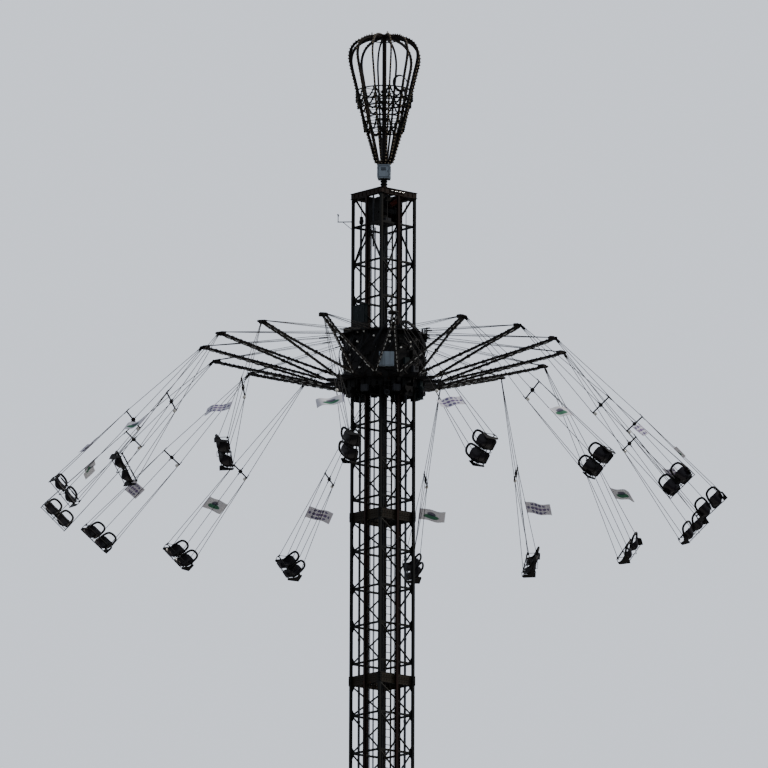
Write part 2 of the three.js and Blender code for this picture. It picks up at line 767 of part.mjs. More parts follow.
// The flag flies from the outer, rear rope.
function flag() {
  const high = new THREE.Vector3(spreaderHalf - embed, 0, -spreaderDrop);
  const low = new THREE.Vector3(sidePlate, -seatRopeReach, seatRopeFoot);
  const flying = turn(-flagTrail).setPosition(high.lerp(low, flagPlace));
  const cloth = box(0, -flagSize.x / 2, -flagSize.y / 2, flagThickness, flagSize.x, flagSize.y);
  return cloth.transform(flying.elements);
}

function swing() {
  const spreaderEnd = (x) => new THREE.Vector3(x, 0, -spreaderDrop);
  return join([
    ...swingHead(),
    ...swingRopes(),
    ...doubleSeat(),
    bar(spreaderEnd(-spreaderHalf), spreaderEnd(spreaderHalf), spreaderSize),
    box(0, 0, -spreaderDrop - nodeSize.z / 2, ...nodeSize.toArray()),
    flag(),
  ]);
}

const swingGeometry = toGeometry(swing());
for (let index = 0; index < armCount; index += 1) {
  const azimuth = rotorTurn + index * armPitch;
  const hanger = new THREE.Group();
  hanger.position.copy(around(azimuth, tipRadius, tipHeight));
  hanger.rotation.z = azimuth + leadAngle - quarter;
  const flying = new THREE.Group();
  flying.rotation.y = -flyingAngle;
  const mesh = new THREE.Mesh(swingGeometry, seatPlastic);
  mesh.name = `swing_${String(index + 1).padStart(2, '0')}`;
  flying.add(mesh);
  hanger.add(flying);
  ride.add(hanger);
}

export default ride;
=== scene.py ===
# %% [markdown]
# # A tower swing ride
#
# The ride is a slim square lattice tower. A lift carriage runs up and down outside it on four
# guide rails. The carriage carries a turning hub, and sixteen arms on the hub carry sixteen
# double seats on wire ropes, which fly outwards as the hub turns. This lesson dresses a finished
# construction model: every place and size comes from that frame, and nothing in it is moved.

# %% Load the frame
import random
from math import copysign, cos, pi, radians, sin

import bmesh
import bpy
from mathutils import Matrix, Vector


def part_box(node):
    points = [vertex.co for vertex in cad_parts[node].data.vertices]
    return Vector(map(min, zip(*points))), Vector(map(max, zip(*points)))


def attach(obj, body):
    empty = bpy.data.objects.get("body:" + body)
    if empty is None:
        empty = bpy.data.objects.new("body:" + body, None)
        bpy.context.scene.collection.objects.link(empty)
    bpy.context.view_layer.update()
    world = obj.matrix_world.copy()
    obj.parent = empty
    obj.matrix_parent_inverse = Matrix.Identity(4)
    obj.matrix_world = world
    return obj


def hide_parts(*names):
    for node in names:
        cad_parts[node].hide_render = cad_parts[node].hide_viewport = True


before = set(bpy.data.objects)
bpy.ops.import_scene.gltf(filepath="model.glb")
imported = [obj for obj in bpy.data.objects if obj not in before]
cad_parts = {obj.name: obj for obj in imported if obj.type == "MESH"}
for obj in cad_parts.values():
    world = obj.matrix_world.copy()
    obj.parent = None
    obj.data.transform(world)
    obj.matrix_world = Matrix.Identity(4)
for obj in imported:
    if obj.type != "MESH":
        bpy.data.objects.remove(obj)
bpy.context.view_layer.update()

# %% [markdown]
# ## The camera
#
# The picture was taken from far off and from below, with a long lens, so the upright lines stay
# almost parallel. The camera is placed by its azimuth and its distance from the tower's axis, and
# it looks up a little. A small roll leans the tower's top to the right.

# %% Place the camera
CAMERA_AZIMUTH = radians(49.5)
CAMERA_DISTANCE = 305.3
CAMERA_HEIGHT = -37.12
CAMERA_TILT = radians(11.757)
CAMERA_PAN = radians(-0.006)
CAMERA_ROLL = radians(0.23)
SENSOR_WIDTH = 36.0
FOCAL_PIXELS = 8607
PICTURE_PIXELS = 768

EAST, NORTH, UP = Vector((1, 0, 0)), Vector((0, 1, 0)), Vector((0, 0, 1))


def linked(name, data):
    """A new object in the scene for a mesh, a camera or a lamp."""
    made = bpy.data.objects.new(name, data)
    bpy.context.scene.collection.objects.link(made)
    return made


camera_data = bpy.data.cameras.new("camera")
camera_data.sensor_width = SENSOR_WIDTH
camera_data.lens = SENSOR_WIDTH * FOCAL_PIXELS / PICTURE_PIXELS
camera_data.clip_start = 1.0
camera_data.clip_end = 2000.0
camera = linked("camera", camera_data)
bpy.context.scene.camera = camera


def heading(azimuth):
    """The level direction from the tower's axis towards an azimuth, which starts at -Y."""
    return Vector((sin(azimuth), -cos(azimuth), 0.0))


def ahead_of(azimuth):
    """The level direction at right angles to heading, counter-clockwise seen from above."""
    return Vector((cos(azimuth), sin(azimuth), 0.0))


def at(azimuth, radius, height):
    """A point at an azimuth, a distance from the tower's axis and a height."""
    return heading(azimuth) * radius + UP * height


forward = at(CAMERA_AZIMUTH + CAMERA_PAN, -cos(CAMERA_TILT), sin(CAMERA_TILT))
level_right = ahead_of(CAMERA_AZIMUTH + CAMERA_PAN)
straight_up = level_right.cross(forward)
right = level_right * cos(CAMERA_ROLL) + straight_up * sin(CAMERA_ROLL)
up = straight_up * cos(CAMERA_ROLL) - level_right * sin(CAMERA_ROLL)
camera_turn = Matrix((right, up, -forward)).transposed().to_4x4()
camera_place = at(CAMERA_AZIMUTH, CAMERA_DISTANCE, CAMERA_HEIGHT)
camera.matrix_world = Matrix.Translation(camera_place) @ camera_turn
print("lens in millimetres:", round(camera_data.lens, 1))

# %% [markdown]
# ## Nodes and shader maths
#
# Shader and Geometry Nodes trees are both built from nodes and links, so one small class makes
# them: it takes a node's type, its settings, and the values or links of its sockets. A second
# class wraps a socket, so that an ordinary Python expression adds the Math nodes.


# %% A tree and a socket in ordinary arithmetic
class Value:
    """One output socket. Sums and products of values add Math nodes to its tree."""

    def __init__(self, tree, socket):
        self.tree = tree
        self.socket = socket

    def math(self, operation, other=0.0, swapped=False):
        pair = (other, self) if swapped else (self, other)
        return self.tree.add("ShaderNodeMath", {"operation": operation}, dict(enumerate(pair)))

    def __add__(self, other):
        return self.math("ADD", other)

    def __mul__(self, other):
        return self.math("MULTIPLY", other)

    def __sub__(self, other):
        return self.math("SUBTRACT", other)

    def __rsub__(self, other):
        return self.math("SUBTRACT", other, swapped=True)

    __radd__, __rmul__ = __add__, __mul__

    def ramp(self, low, high):
        """0 below low, 1 above high, and smooth between them."""
        inputs = {"Value": self, "From Min": low, "From Max": high}
        return self.tree.add("ShaderNodeMapRange", {"interpolation_type": "SMOOTHSTEP"}, inputs)


class Tree:
    """Adds nodes to a shader or geometry tree and hands back their outputs as values."""

    def __init__(self, tree):
        self.tree = tree

    def node(self, kind, settings=None, inputs=None):
        made = self.tree.nodes.new(kind)
        for name, setting in (settings or {}).items():
            setattr(made, name, setting)
        for name, value in (inputs or {}).items():
            if isinstance(value, Value):
                self.tree.links.new(value.socket, made.inputs[name])
            else:
                made.inputs[name].default_value = value
        return made

    def add(self, kind, settings=None, inputs=None, output=0):
        return Value(self, self.node(kind, settings, inputs).outputs[output])


# %% [markdown]
# ## Finishes
#
# Everything on the ride is painted steel, galvanised steel, wire rope, moulded plastic or cloth,
# and has stood outdoors for years. Each recipe reads Object coordinates. Broad noise drifts the
# tone, noise that is stretched upright makes rain streaks, and fine noise gives the paint its
# grain. Rust sits only where a mask lets it through.


# %% The base of every finish
def linear(code):
    """A colour written as in a paint chart, such as 2b2723, as linear values."""
    parts = [int(code[i : i + 2], 16) / 255 for i in (0, 2, 4)]
    return [p / 12.92 if p <= 0.04045 else ((p + 0.055) / 1.055) ** 2.4 for p in parts] + [1.0]


class Finish(Tree):
    """A material under construction, with the few parts that all the recipes share."""

    def __init__(self, name):
        self.material = bpy.data.materials.new(name)
        self.material.use_nodes = True
        super().__init__(self.material.node_tree)
        self.tree.nodes.clear()
        self.place = self.add("ShaderNodeTexCoord", output="Object")

    def stretched(self, scale):
        return self.add("ShaderNodeMapping", inputs={"Vector": self.place, "Scale": scale})

    def noise(self, scale, detail=3.0, roughness=0.55, where=None):
        inputs = {"Vector": where or self.place, "Scale": scale}
        return self.add("ShaderNodeTexNoise", inputs=inputs | {"Detail": detail, "Roughness": roughness})

    def cells(self, scale):
        return self.add("ShaderNodeTexVoronoi", inputs={"Vector": self.place, "Scale": scale})

    def mix(self, share, first, second):
        """From the first colour to the second; 0, 6, 7 and 2 are the colour sockets' places."""
        return self.add("ShaderNodeMix", {"data_type": "RGBA"}, {0: share, 6: first, 7: second}, 2)

    def tones(self, share, first, second):
        return self.mix(share, linear(first), linear(second))

    def bump(self, height, distance):
        inputs = {"Height": height, "Distance": distance, "Strength": 0.6}
        return self.add("ShaderNodeBump", inputs=inputs)

    def done(self, **inputs):
        named = {name.replace("_", " "): value for name, value in inputs.items()}
        surface = self.add("ShaderNodeBsdfPrincipled", inputs=named)
        self.node("ShaderNodeOutputMaterial", inputs={"Surface": surface})
        return self.material


GRIME = linear("15130f")


def weathered_paint(name, colour, second, rust=0.5, gloss=0.42, metal=0.0):
    """Old outdoor paint: two close tones, rain streaks, fine grain, and rust in spots."""
    finish = Finish(name)
    broad = finish.noise(0.9, 4.0)
    streaks = finish.noise(1.0, 5.0, where=finish.stretched((7.0, 7.0, 0.5)))
    grain = finish.noise(160.0, 2.0)
    spots = finish.noise(11.0, 6.0, 0.7)
    tone = finish.tones(broad.ramp(0.35, 0.68), colour, second)
    dirty = finish.mix(streaks.ramp(0.48, 0.78) * 0.65, tone, GRIME)
    rust_tone = finish.tones(grain.ramp(0.4, 0.6), "3a1c10", "6e3a1c")
    mask = (spots * 0.75 + streaks * 0.25).ramp(0.66 - 0.14 * rust, 0.74 - 0.08 * rust)
    colour_out = finish.mix(mask * min(1.0, 0.4 + rust), dirty, rust_tone)
    rough = gloss + mask * 0.35 + streaks * 0.12
    relief = finish.bump(grain * 0.35 + spots * 0.5 + mask * 0.6, 0.0012)
    return finish.done(Base_Color=colour_out, Roughness=rough, Metallic=metal, Normal=relief,
                       Specular_IOR_Level=0.22)


def galvanised(name, colour, second):
    """Zinc on steel: pale crystals of a few millimetres, dull, with darker runs below fittings."""
    finish = Finish(name)
    crystals = finish.cells(95.0)
    runs = finish.noise(1.0, 4.0, where=finish.stretched((9.0, 9.0, 0.7)))
    tone = finish.tones(crystals.ramp(0.1, 0.7), colour, second)
    stained = finish.mix(runs.ramp(0.5, 0.75) * 0.55, tone, GRIME)
    rough = 0.46 + crystals * 0.2
    relief = finish.bump(crystals + runs * 0.4, 0.0006)
    return finish.done(Base_Color=stained, Roughness=rough, Metallic=0.55, Normal=relief)


def wire_rope(name, colour, second):
    """Greased wire rope: fine slanting strands, dark in the lay between them."""
    finish = Finish(name)
    inputs = {"Vector": finish.place, "Scale": 42.0, "Distortion": 0.6, "Detail": 1.0}
    lay = finish.add("ShaderNodeTexWave", {"bands_direction": "DIAGONAL"}, inputs)
    grease = finish.noise(2.4, 3.0)
    tone = finish.tones(lay.ramp(0.2, 0.7), second, colour)
    greased = finish.mix(grease.ramp(0.45, 0.7) * 0.6, tone, GRIME)
    relief = finish.bump(lay, 0.0015)
    return finish.done(Base_Color=greased, Roughness=0.5 + grease * 0.2, Metallic=0.6, Normal=relief)


def moulded_shell(name, colour, second):
    """Gel-coated seat shell: smooth and dark, with a fine pebble grain, scuffs and dust."""
    finish = Finish(name)
    pebble = finish.cells(420.0)
    scuffs = finish.noise(26.0, 5.0, 0.75)
    dust = finish.noise(2.1, 3.0)
    tone = finish.tones(dust.ramp(0.4, 0.7), colour, second)
    worn = finish.mix(scuffs.ramp(0.62, 0.72) * 0.5, tone, linear("4c4a48"))
    rough = 0.3 + scuffs.ramp(0.5, 0.7) * 0.35
    relief = finish.bump(pebble * 0.5 + scuffs * 0.2, 0.0005)
    return finish.done(Base_Color=worn, Roughness=rough, Coat_Weight=0.12, Normal=relief,
                       Specular_IOR_Level=0.3)


def lamp_cap(name, colour, glow):
    """A clear lamp cap over a cold bulb: pale, glossy, ribbed like a lens."""
    finish = Finish(name)
    ribs = finish.cells(60.0)
    # glow is the paler tone in the lens cells; on cage_bulb and tube_glass it is partly painted light
    tone = finish.tones(ribs.ramp(0.1, 0.6), colour, glow)
    relief = finish.bump(ribs, 0.002)
    return finish.done(Base_Color=tone, Roughness=0.12 + ribs * 0.15, Coat_Weight=0.6, Normal=relief)


RECIPES = {
    weathered_paint: (
        # name, colour, second colour, rust, gloss, metal
        ("tower_paint", "16160f", "0f1416", 0.35), ("flange_paint", "2a2418", "211a12", 0.6),
        ("rail_paint", "2c1a14", "1e1412", 0.7, 0.34, 0.25), ("ladder_paint", "2e2821", "221e19", 0.6),
        ("crown_paint", "241a12", "2b180f", 0.6), ("housing_paint", "0f0e0e", "151311", 0.4),
        ("cabinet_paint", "a9b6c0", "98a5af", 0.12, 0.36), ("teal_paint", "152426", "101b1e", 0.3),
        ("hub_paint", "171412", "110f10", 0.45), ("arm_paint", "211c18", "181412", 0.5),
        ("cage_paint", "241a12", "15110f", 0.6), ("orange_paint", "64230f", "4f1c0c", 0.4),
        ("box_grey", "3b3d42", "313338", 0.15), ("seat_frame", "121111", "181514", 0.3),
        ("flag_sleeve", "c9c5d2", "b5b0c0", 0.0, 0.7), ("garland", "1f2318", "191c16", 0.4),
    ),
    galvanised: (("pipe_grey", "5a5e64", "474a50"), ("pipe_dark", "2b2c2f", "1e1f22")),
    wire_rope: (("rope_steel", "45423f", "1f1d1c"),),
    moulded_shell: (("seat_shell", "262127", "1a1718"),),
    # tube_glass is partly the tubes' own pale colour, partly a painted glow of light shining through them
    lamp_cap: (("lamp_glass", "e6e2d4", "f8f5ea"), ("tube_glass", "bdbfba", "dcdedb"),
               # cage_bulb: the pale second tone c4b08e is partly the caps' own colour, partly a painted
               # glint of the sun
               ("cage_bulb", "6b5a46", "c4b08e")),
}
PAINTS = {row[0]: recipe(*row) for recipe, rows in RECIPES.items() for row in rows}
print("finishes:", ", ".join(PAINTS))

# %% [markdown]
# ## Collecting a piece's points and faces
#
# Most pieces here are welded from bars, tubes and plates. Each helper adds one closed shape to a
# list of points and faces, and the finished list becomes one mesh, already in its place, so the
# object itself stays at the origin.


# %% Bars, boxes, tubes, turned shapes and plates
def frame_along(direction, hint=UP):
    """Two directions across a line: the first level where it can be, the second upwards."""
    along = direction.normalized()
    if abs(along.dot(hint)) > 0.999:
        hint = NORTH
    side = hint.cross(along).normalized()
    return side, along.cross(side)


def box_matrix(centre, x_axis, y_axis, z_axis):
    """Places a unit box: its three edges become the three given vectors."""
    columns = Matrix((x_axis, y_axis, z_axis)).transposed().to_4x4()
    return Matrix.Translation(centre) @ columns


def box_between(low, high):
    """Places a unit box between two corners."""
    low, high = Vector(low), Vector(high)
    return Matrix.Translation((low + high) / 2) @ Matrix.Diagonal((*(high - low), 1.0))


def around(sides):
    return [2 * pi * k / sides for k in range(sides)]


class Piece:
    """The points and faces of one piece."""

    def __init__(self):
        self.points = []
        self.faces = []

    def add(self, points, faces, place=None):
        first = len(self.points)
        self.points += [tuple(place @ Vector(p) if place else p) for p in points]
        self.faces += [tuple(first + i for i in face) for face in faces]
        return self

    def unit_box(self, place, edge=0.0):
        """A box; with an edge share its four long corners are cut, as on rolled steel."""
        if edge == 0.0:
            ring = [(-0.5, -0.5), (0.5, -0.5), (0.5, 0.5), (-0.5, 0.5)]
        else:
            near = 0.5 - edge
            ring = [(-near, -0.5), (near, -0.5), (0.5, -near), (0.5, near)]
            ring += [(near, 0.5), (-near, 0.5), (-0.5, near), (-0.5, -near)]
        count = len(ring)
        points = [(-0.5, y, z) for y, z in ring] + [(0.5, y, z) for y, z in ring]
        sides = [(i, count + i, count + (i + 1) % count, (i + 1) % count) for i in range(count)]
        ends = [tuple(range(count)), tuple(range(2 * count - 1, count - 1, -1))]
        return self.add(points, sides + ends, place)

    def box(self, low, high, place=Matrix()):
        return self.unit_box(place @ box_between(low, high))

    def bar(self, start, end, width, height, hint=UP, edge=0.12):
        start, end = Vector(start), Vector(end)
        side, upward = frame_along(end - start, hint)
        place = box_matrix((start + end) / 2, end - start, side * width, upward * height)
        return self.unit_box(place, edge)

    def skin(self, points, rings, sides, closed, place=None):
        """Joins rings of points by faces, and closes the first and last unless they meet."""
        faces = []
        for i in range(rings if closed else rings - 1):
            a, b = i * sides, ((i + 1) % rings) * sides
            faces += [(a + k, a + (k + 1) % sides, b + (k + 1) % sides, b + k) for k in range(sides)]
        if not closed:
            faces.append(tuple(range(sides - 1, -1, -1)))
            faces.append(tuple((rings - 1) * sides + k for k in range(sides)))
        return self.add(points, faces, place)

    def tube(self, path, radius, sides=8, closed=False):
        """A round bar swept along a path; a closed path joins its ends."""
        path = [Vector(p) for p in path]
        count = len(path)
        across = None
        points = []
        for i, spot in enumerate(path):
            before = path[i - 1] if closed or i > 0 else spot
            after = path[(i + 1) % count] if closed or i < count - 1 else spot
            along = (after - before).normalized()
            if across is None:
                across = frame_along(along)[0]
            across = (across - along * across.dot(along)).normalized()
            second = along.cross(across)
            points += [spot + (across * cos(t) + second * sin(t)) * radius for t in around(sides)]
        return self.skin(points, count, sides, closed)

    def rod(self, start, way, radius, sides=8):
        """A straight round bar from a point, along a way given as x, y and z."""
        return self.tube([Vector(start), Vector(start) + Vector(way)], radius, sides)

    def lathe(self, profile, sides, place=None, closed=False):
        """A turned shape from [radius, height] points; closed profiles make rings."""
        points = [at(a, radius, height) for radius, height in profile for a in around(sides)]
        return self.skin(points, len(profile), sides, closed, place)

    def section(self, outline, start, end, hint=UP):
        """A rolled section between two points: its outline's x runs sideways, and its y upwards."""
        start, end = Vector(start), Vector(end)
        side, upward = frame_along(end - start, hint)
        return self.plate(outline, 1.0, box_matrix((start + end) / 2, side, upward, end - start))

    def copies_about_axis(self, count):
        """Repeats everything so far around the tower's axis."""
        points, faces = list(self.points), list(self.faces)
        for turn in around(count)[1:]:
            self.add(points, faces, Matrix.Rotation(turn, 4, "Z"))
        return self

    def plate(self, outline, thickness, place=None):
        """A flat plate in the XY plane, from its outline, centred on that plane."""
        count = len(outline)
        points = [(x, y, z) for z in (-thickness / 2, thickness / 2) for x, y in outline]
        faces = [(i, (i + 1) % count, count + (i + 1) % count, count + i) for i in range(count)]
        faces += [tuple(range(count - 1, -1, -1)), tuple(range(count, 2 * count))]
        return self.add(points, faces, place)


def tidy_mesh(mesh, smooth_below=radians(35)):
    """Merges doubles, points the faces outwards, and shades round stretches smooth."""
    work = bmesh.new()
    work.from_mesh(mesh)
    bmesh.ops.remove_doubles(work, verts=work.verts, dist=1e-5)
    bmesh.ops.recalc_face_normals(work, faces=work.faces)
    for edge in work.edges:
        edge.smooth = edge.calc_face_angle(pi) < smooth_below
    for face in work.faces:
        face.smooth = True
    work.to_mesh(mesh)
    work.free()
    return mesh


# %% Finished objects
SLOTS = {
    # finishes, each paired with the slot of another one
    "flange_paint": "tower_paint", "pipe_dark": "pipe_grey", "box_grey": "pipe_grey",
    "orange_paint": "crown_paint", "garland": "cage_paint", "tube_glass": "lamp_glass",
    "cage_bulb": "lamp_glass", "seat_frame": "seat_shell", "flag_sleeve": "flag_cloth",
}


def as_object(name, mesh, material, body, replaced=()):
    """Hangs a finished mesh on its body, with its finish and the nodes that it stands for."""
    mesh.name = name
    mesh.materials.clear()
    mesh.materials.append(material)
    made = linked(name, mesh)
    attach(made, body)
    if replaced:
        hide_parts(*replaced)
    if not body.startswith("swing"):  # the swings are counted after their own loop
        print(f"{name}: {len(mesh.polygons)} faces on the {body}")
    return made


def as_mesh(name, piece):
    mesh = bpy.data.meshes.new(name)
    mesh.from_pydata(piece.points, [], piece.faces)
    return mesh


def dress(name, made, paint, body="tower", replaced=(), slot=None):
    """Tidies a piece or a mesh, and makes it an object of its body in one of the finishes."""
    mesh = as_mesh(name, made) if isinstance(made, Piece) else made
    slot = slot or SLOTS.get(paint, paint)
    return as_object(name, tidy_mesh(mesh), PAINTS[paint], body, replaced)


def from_bmesh(name, work):
    """Ends the work on a bmesh and hands back its mesh."""
    mesh = bpy.data.meshes.new(name)
    work.to_mesh(mesh)
    work.free()
    return mesh


# %% [markdown]
# ## Geometry Nodes for what repeats
#
# Four node trees do the repeated work of this ride. The first sweeps a round bar along every
# line of a wire model, which makes lattice braces, ladder rungs and ropes. The second strings bulbs
# along lines at a set pitch. The third puts one bolt head on every point and turns it the way that
# the point faces. The fourth copies a whole arm or rib around the tower's axis. Each ends in
# Realize Instances and Set Material, and the result is copied to a plain mesh.


# %% The four node trees
def new_group(name, **sizes):
    """A geometry tree with inputs for its geometry, its named sizes and its material."""
    group = bpy.data.node_groups.new(name, "GeometryNodeTree")
    kinds = {float: "NodeSocketFloat", int: "NodeSocketInt"}
    group.interface.new_socket("Geometry", in_out="INPUT", socket_type="NodeSocketGeometry")
    for label, value in sizes.items():
        socket = group.interface.new_socket(label, in_out="INPUT", socket_type=kinds[type(value)])
        socket.default_value = value
    group.interface.new_socket("Material", in_out="INPUT", socket_type="NodeSocketMaterial")
    group.interface.new_socket("Geometry", in_out="OUTPUT", socket_type="NodeSocketGeometry")
    tree = Tree(group)
    entry = tree.node("NodeGroupInput")
    return tree, {socket.name: Value(tree, socket) for socket in entry.outputs if socket.name}


def end_group(tree, geometry, given):
    """Makes the copies real and gives them their material, as the export needs."""
    inputs = {"Geometry": tree.add("GeometryNodeRealizeInstances", inputs={"Geometry": geometry})}
    painted = tree.add("GeometryNodeSetMaterial", inputs=inputs | {"Material": given["Material"]})
    tree.node("NodeGroupOutput", inputs={"Geometry": painted})
    return tree.tree


def sweep_group():
    tree, given = new_group("round bars on edges", Radius=0.02, Sides=6)
    split = tree.add("GeometryNodeSplitEdges", inputs={"Mesh": given["Geometry"]})
    curves = tree.add("GeometryNodeMeshToCurve", inputs={"Mesh": split})
    inputs = {"Resolution": given["Sides"], "Radius": given["Radius"]}
    section = tree.add("GeometryNodeCurvePrimitiveCircle", {"mode": "RADIUS"}, inputs)
    inputs = {"Curve": curves, "Profile Curve": section, "Fill Caps": True}
    return end_group(tree, tree.add("GeometryNodeCurveToMesh", inputs=inputs), given)


def bead_group():
    tree, given = new_group("beads along edges", Pitch=0.15, Size=0.03)
    curves = tree.add("GeometryNodeMeshToCurve", inputs={"Mesh": given["Geometry"]})
    inputs = {"Curve": curves, "Length": given["Pitch"]}
    points = tree.add("GeometryNodeCurveToPoints", {"mode": "LENGTH"}, inputs)
    inputs = {"Radius": given["Size"], "Subdivisions": 1}
    bead = tree.add("GeometryNodeMeshIcoSphere", inputs=inputs)
    inputs = {"Points": points, "Instance": bead}
    return end_group(tree, tree.add("GeometryNodeInstanceOnPoints", inputs=inputs), given)


def stud_group():
    tree, given = new_group("studs on points", Radius=0.02, Length=0.03, Sides=6)
    inputs = {"Vertices": given["Sides"], "Radius": given["Radius"], "Depth": given["Length"]}
    stud = tree.add("GeometryNodeMeshCylinder", {"fill_type": "NGON"}, inputs)
    settings = {"data_type": "FLOAT_VECTOR"}
    facing = tree.add("GeometryNodeInputNamedAttribute", settings, {"Name": "facing"})
    turned = tree.add("FunctionNodeAlignRotationToVector", {"axis": "Z"}, {"Vector": facing})
    points = tree.add("GeometryNodeMeshToPoints", inputs={"Mesh": given["Geometry"]})
    inputs = {"Points": points, "Instance": stud, "Rotation": turned}
    return end_group(tree, tree.add("GeometryNodeInstanceOnPoints", inputs=inputs), given)


def round_group():
    tree, given = new_group("copies about the axis", Count=16, Step=0.0, Turn=0.0)
    inputs = {"Count": given["Count"], "Offset": (0.0, 0.0, 0.0)}
    points = tree.add("GeometryNodeMeshLine", inputs=inputs)
    angle = tree.add("GeometryNodeInputIndex") * given["Step"] + given["Turn"]
    turned = tree.add("ShaderNodeCombineXYZ", inputs={"Z": angle})
    inputs = {"Points": points, "Instance": given["Geometry"], "Rotation": turned}
    return end_group(tree, tree.add("GeometryNodeInstanceOnPoints", inputs=inputs), given)


SWEEP, BEADS, STUDS, ROUND = sweep_group(), bead_group(), stud_group(), round_group()
for group in (SWEEP, BEADS, STUDS, ROUND):
    print(group.name, "has", len(group.nodes), "nodes")


def grown(group, mesh, material, **sizes):
    """Runs a node tree on a mesh and copies the result to a plain mesh."""
    source = linked("source", mesh)
    modifier = source.modifiers.new("nodes", "NODES")
    modifier.node_group = group
    identifiers = {item.name: item.identifier for item in group.interface.items_tree}
    for label, value in sizes.items():
        modifier[identifiers[label]] = value
    modifier[identifiers["Material"]] = PAINTS[material]
    depsgraph = bpy.context.evaluated_depsgraph_get()
    made = bpy.data.meshes.new_from_object(source.evaluated_get(depsgraph))
    source.modifiers.clear()
    bpy.data.objects.remove(source)
    return made


def wire_mesh(lines):
    """A mesh of edges only, from a list of point lists."""
    points, edges = [], []
    for line in lines:
        first = len(points)
        points += [tuple(p) for p in line]
        edges += [(first + i, first + i + 1) for i in range(len(line) - 1)]
    mesh = bpy.data.meshes.new("wire")
    mesh.from_pydata(points, edges, [])
    return mesh


def swept(lines, radius, material):
    """Round bars along straight lines."""
    return grown(SWEEP, wire_mesh(lines), material, Radius=radius, Sides=8)


def beads(lines, pitch, size, material):
    return grown(BEADS, wire_mesh(lines), material, Pitch=pitch, Size=size)


def studs(spots, radius, length, material, sides=6):
    """Bolt heads or posts: each spot is a place and the way that it faces."""
    mesh = bpy.data.meshes.new("spots")
    mesh.from_pydata([tuple(place) for place, way in spots], [], [])
    facing = mesh.attributes.new("facing", "FLOAT_VECTOR", "POINT")
    facing.data.foreach_set("vector", [c for place, way in spots for c in way])
    return grown(STUDS, mesh, material, Radius=radius, Length=length, Sides=sides)


def round_axis(made, count, turn, material):
    """Copies of one piece or mesh about the tower's axis, the first at azimuth turn."""
    mesh = as_mesh("one", made) if isinstance(made, Piece) else made
    return grown(ROUND, mesh, material, Count=count, Step=2 * pi / count, Turn=turn)


def light_tubes(lines, pitch, length, radius):
    """Short bright tubes, end to end with a gap, along lines of two or more points."""
    spots = []
    for line in lines:
        carried = pitch / 2
        for start, end in zip(line, line[1:]):
            span = (end - start).length
            way = (end - start).normalized()
            while carried < span:
                spots.append((start + way * carried, way))
                carried += pitch
            carried -= span
    return studs(spots, radius, length, "tube_glass", 8)


# %% [markdown]
# ## The tower
#
# Four square legs stand 1.58 m apart, in bolted sections of 6 m. Each side between them has flat
# horizontals and one round brace a panel, and a deep bolted band at each joint. The heights follow
# the construction model: the first bar is 1.26 m below a joint, and the next are 1.371 m apart.
# The crown's first panel is open and its second is braced as an upturned V. A loop lists the
# panels once, and the horizontals, braces, gussets and bolts all read that list.

# %% Heights of the tower's joints and panels
CROWN_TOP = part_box("crown_frame")[1][2]
CROWN_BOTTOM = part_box("tower_leg_1")[1][2]
BASE_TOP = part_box("base_frame")[1][2]
LEG_PLACE = 0.79
LEG_SIZE = 0.105
SIDE_PLACE = 0.758
SIDE_HALF = LEG_PLACE - LEG_SIZE / 2 - 0.001
SECTION_HEIGHT = 6.0
FIRST_BAR = 1.26
BAR_PITCH = 1.371
BAR_HEIGHT = 0.08
SIDE_DEPTH = 0.04
BAND_HEIGHT = 0.36
JOINTS = [CROWN_TOP - SECTION_HEIGHT * k for k in range(6)]


def bar_heights(joint):
    """The horizontals of the section below a joint, from the top down."""
    floor = max(joint - SECTION_HEIGHT + BAND_HEIGHT / 2, BASE_TOP + BAR_HEIGHT)
    heights = []
    height = joint - FIRST_BAR
    while height > floor:
        heights.append(height)
        height -= BAR_PITCH
    return heights


def panels():
    """Each panel as its kind, its lower and its upper height."""
    found = []
    for joint in JOINTS:
        heights = bar_heights(joint)
        lowest = max(joint - SECTION_HEIGHT + BAND_HEIGHT / 2, BASE_TOP)
        uppers = [joint - BAND_HEIGHT / 2] + heights
        for index, (upper, lower) in enumerate(zip(uppers, heights + [lowest])):
            kind = "braced"
            if joint == CROWN_TOP and index < 2:
                kind = ("open", "upturned V")[index]
            if upper - lower > 0.6:
                found.append((kind, lower, upper))
    return found


PANELS = panels()
print("panels on one side of the tower:", len(PANELS))


# %% Outlines of the rolled sections
def square_outline(width, height, cut=0.012):
    x, y = width / 2, height / 2
    corners = [(-x, -y), (x, -y), (x, y), (-x, y)]
    outline = []
    for px, py in corners:
        along_x = (px - copysign(cut, px), py)
        along_y = (px, py - copysign(cut, py))
        outline += [along_x, along_y] if px * py < 0 else [along_y, along_x]
    return outline


def rail_outline(width, depth, flange=0.014, web=0.02):
    """An H on its side: a flange to the tower, a web, and a flange that the rollers run on."""
    x, y, w = width / 2, depth / 2, web / 2
    inner = y - flange
    half = [(x, -y), (x, -inner), (w, -inner), (w, inner), (x, inner), (x, y)]
    return half + [(-px, -py) for px, py in half]


# %% Legs with their joint plates
COVER_HEIGHT = 0.34
COVER_THICKNESS = 0.011
FLANGE_SIZE = 0.15


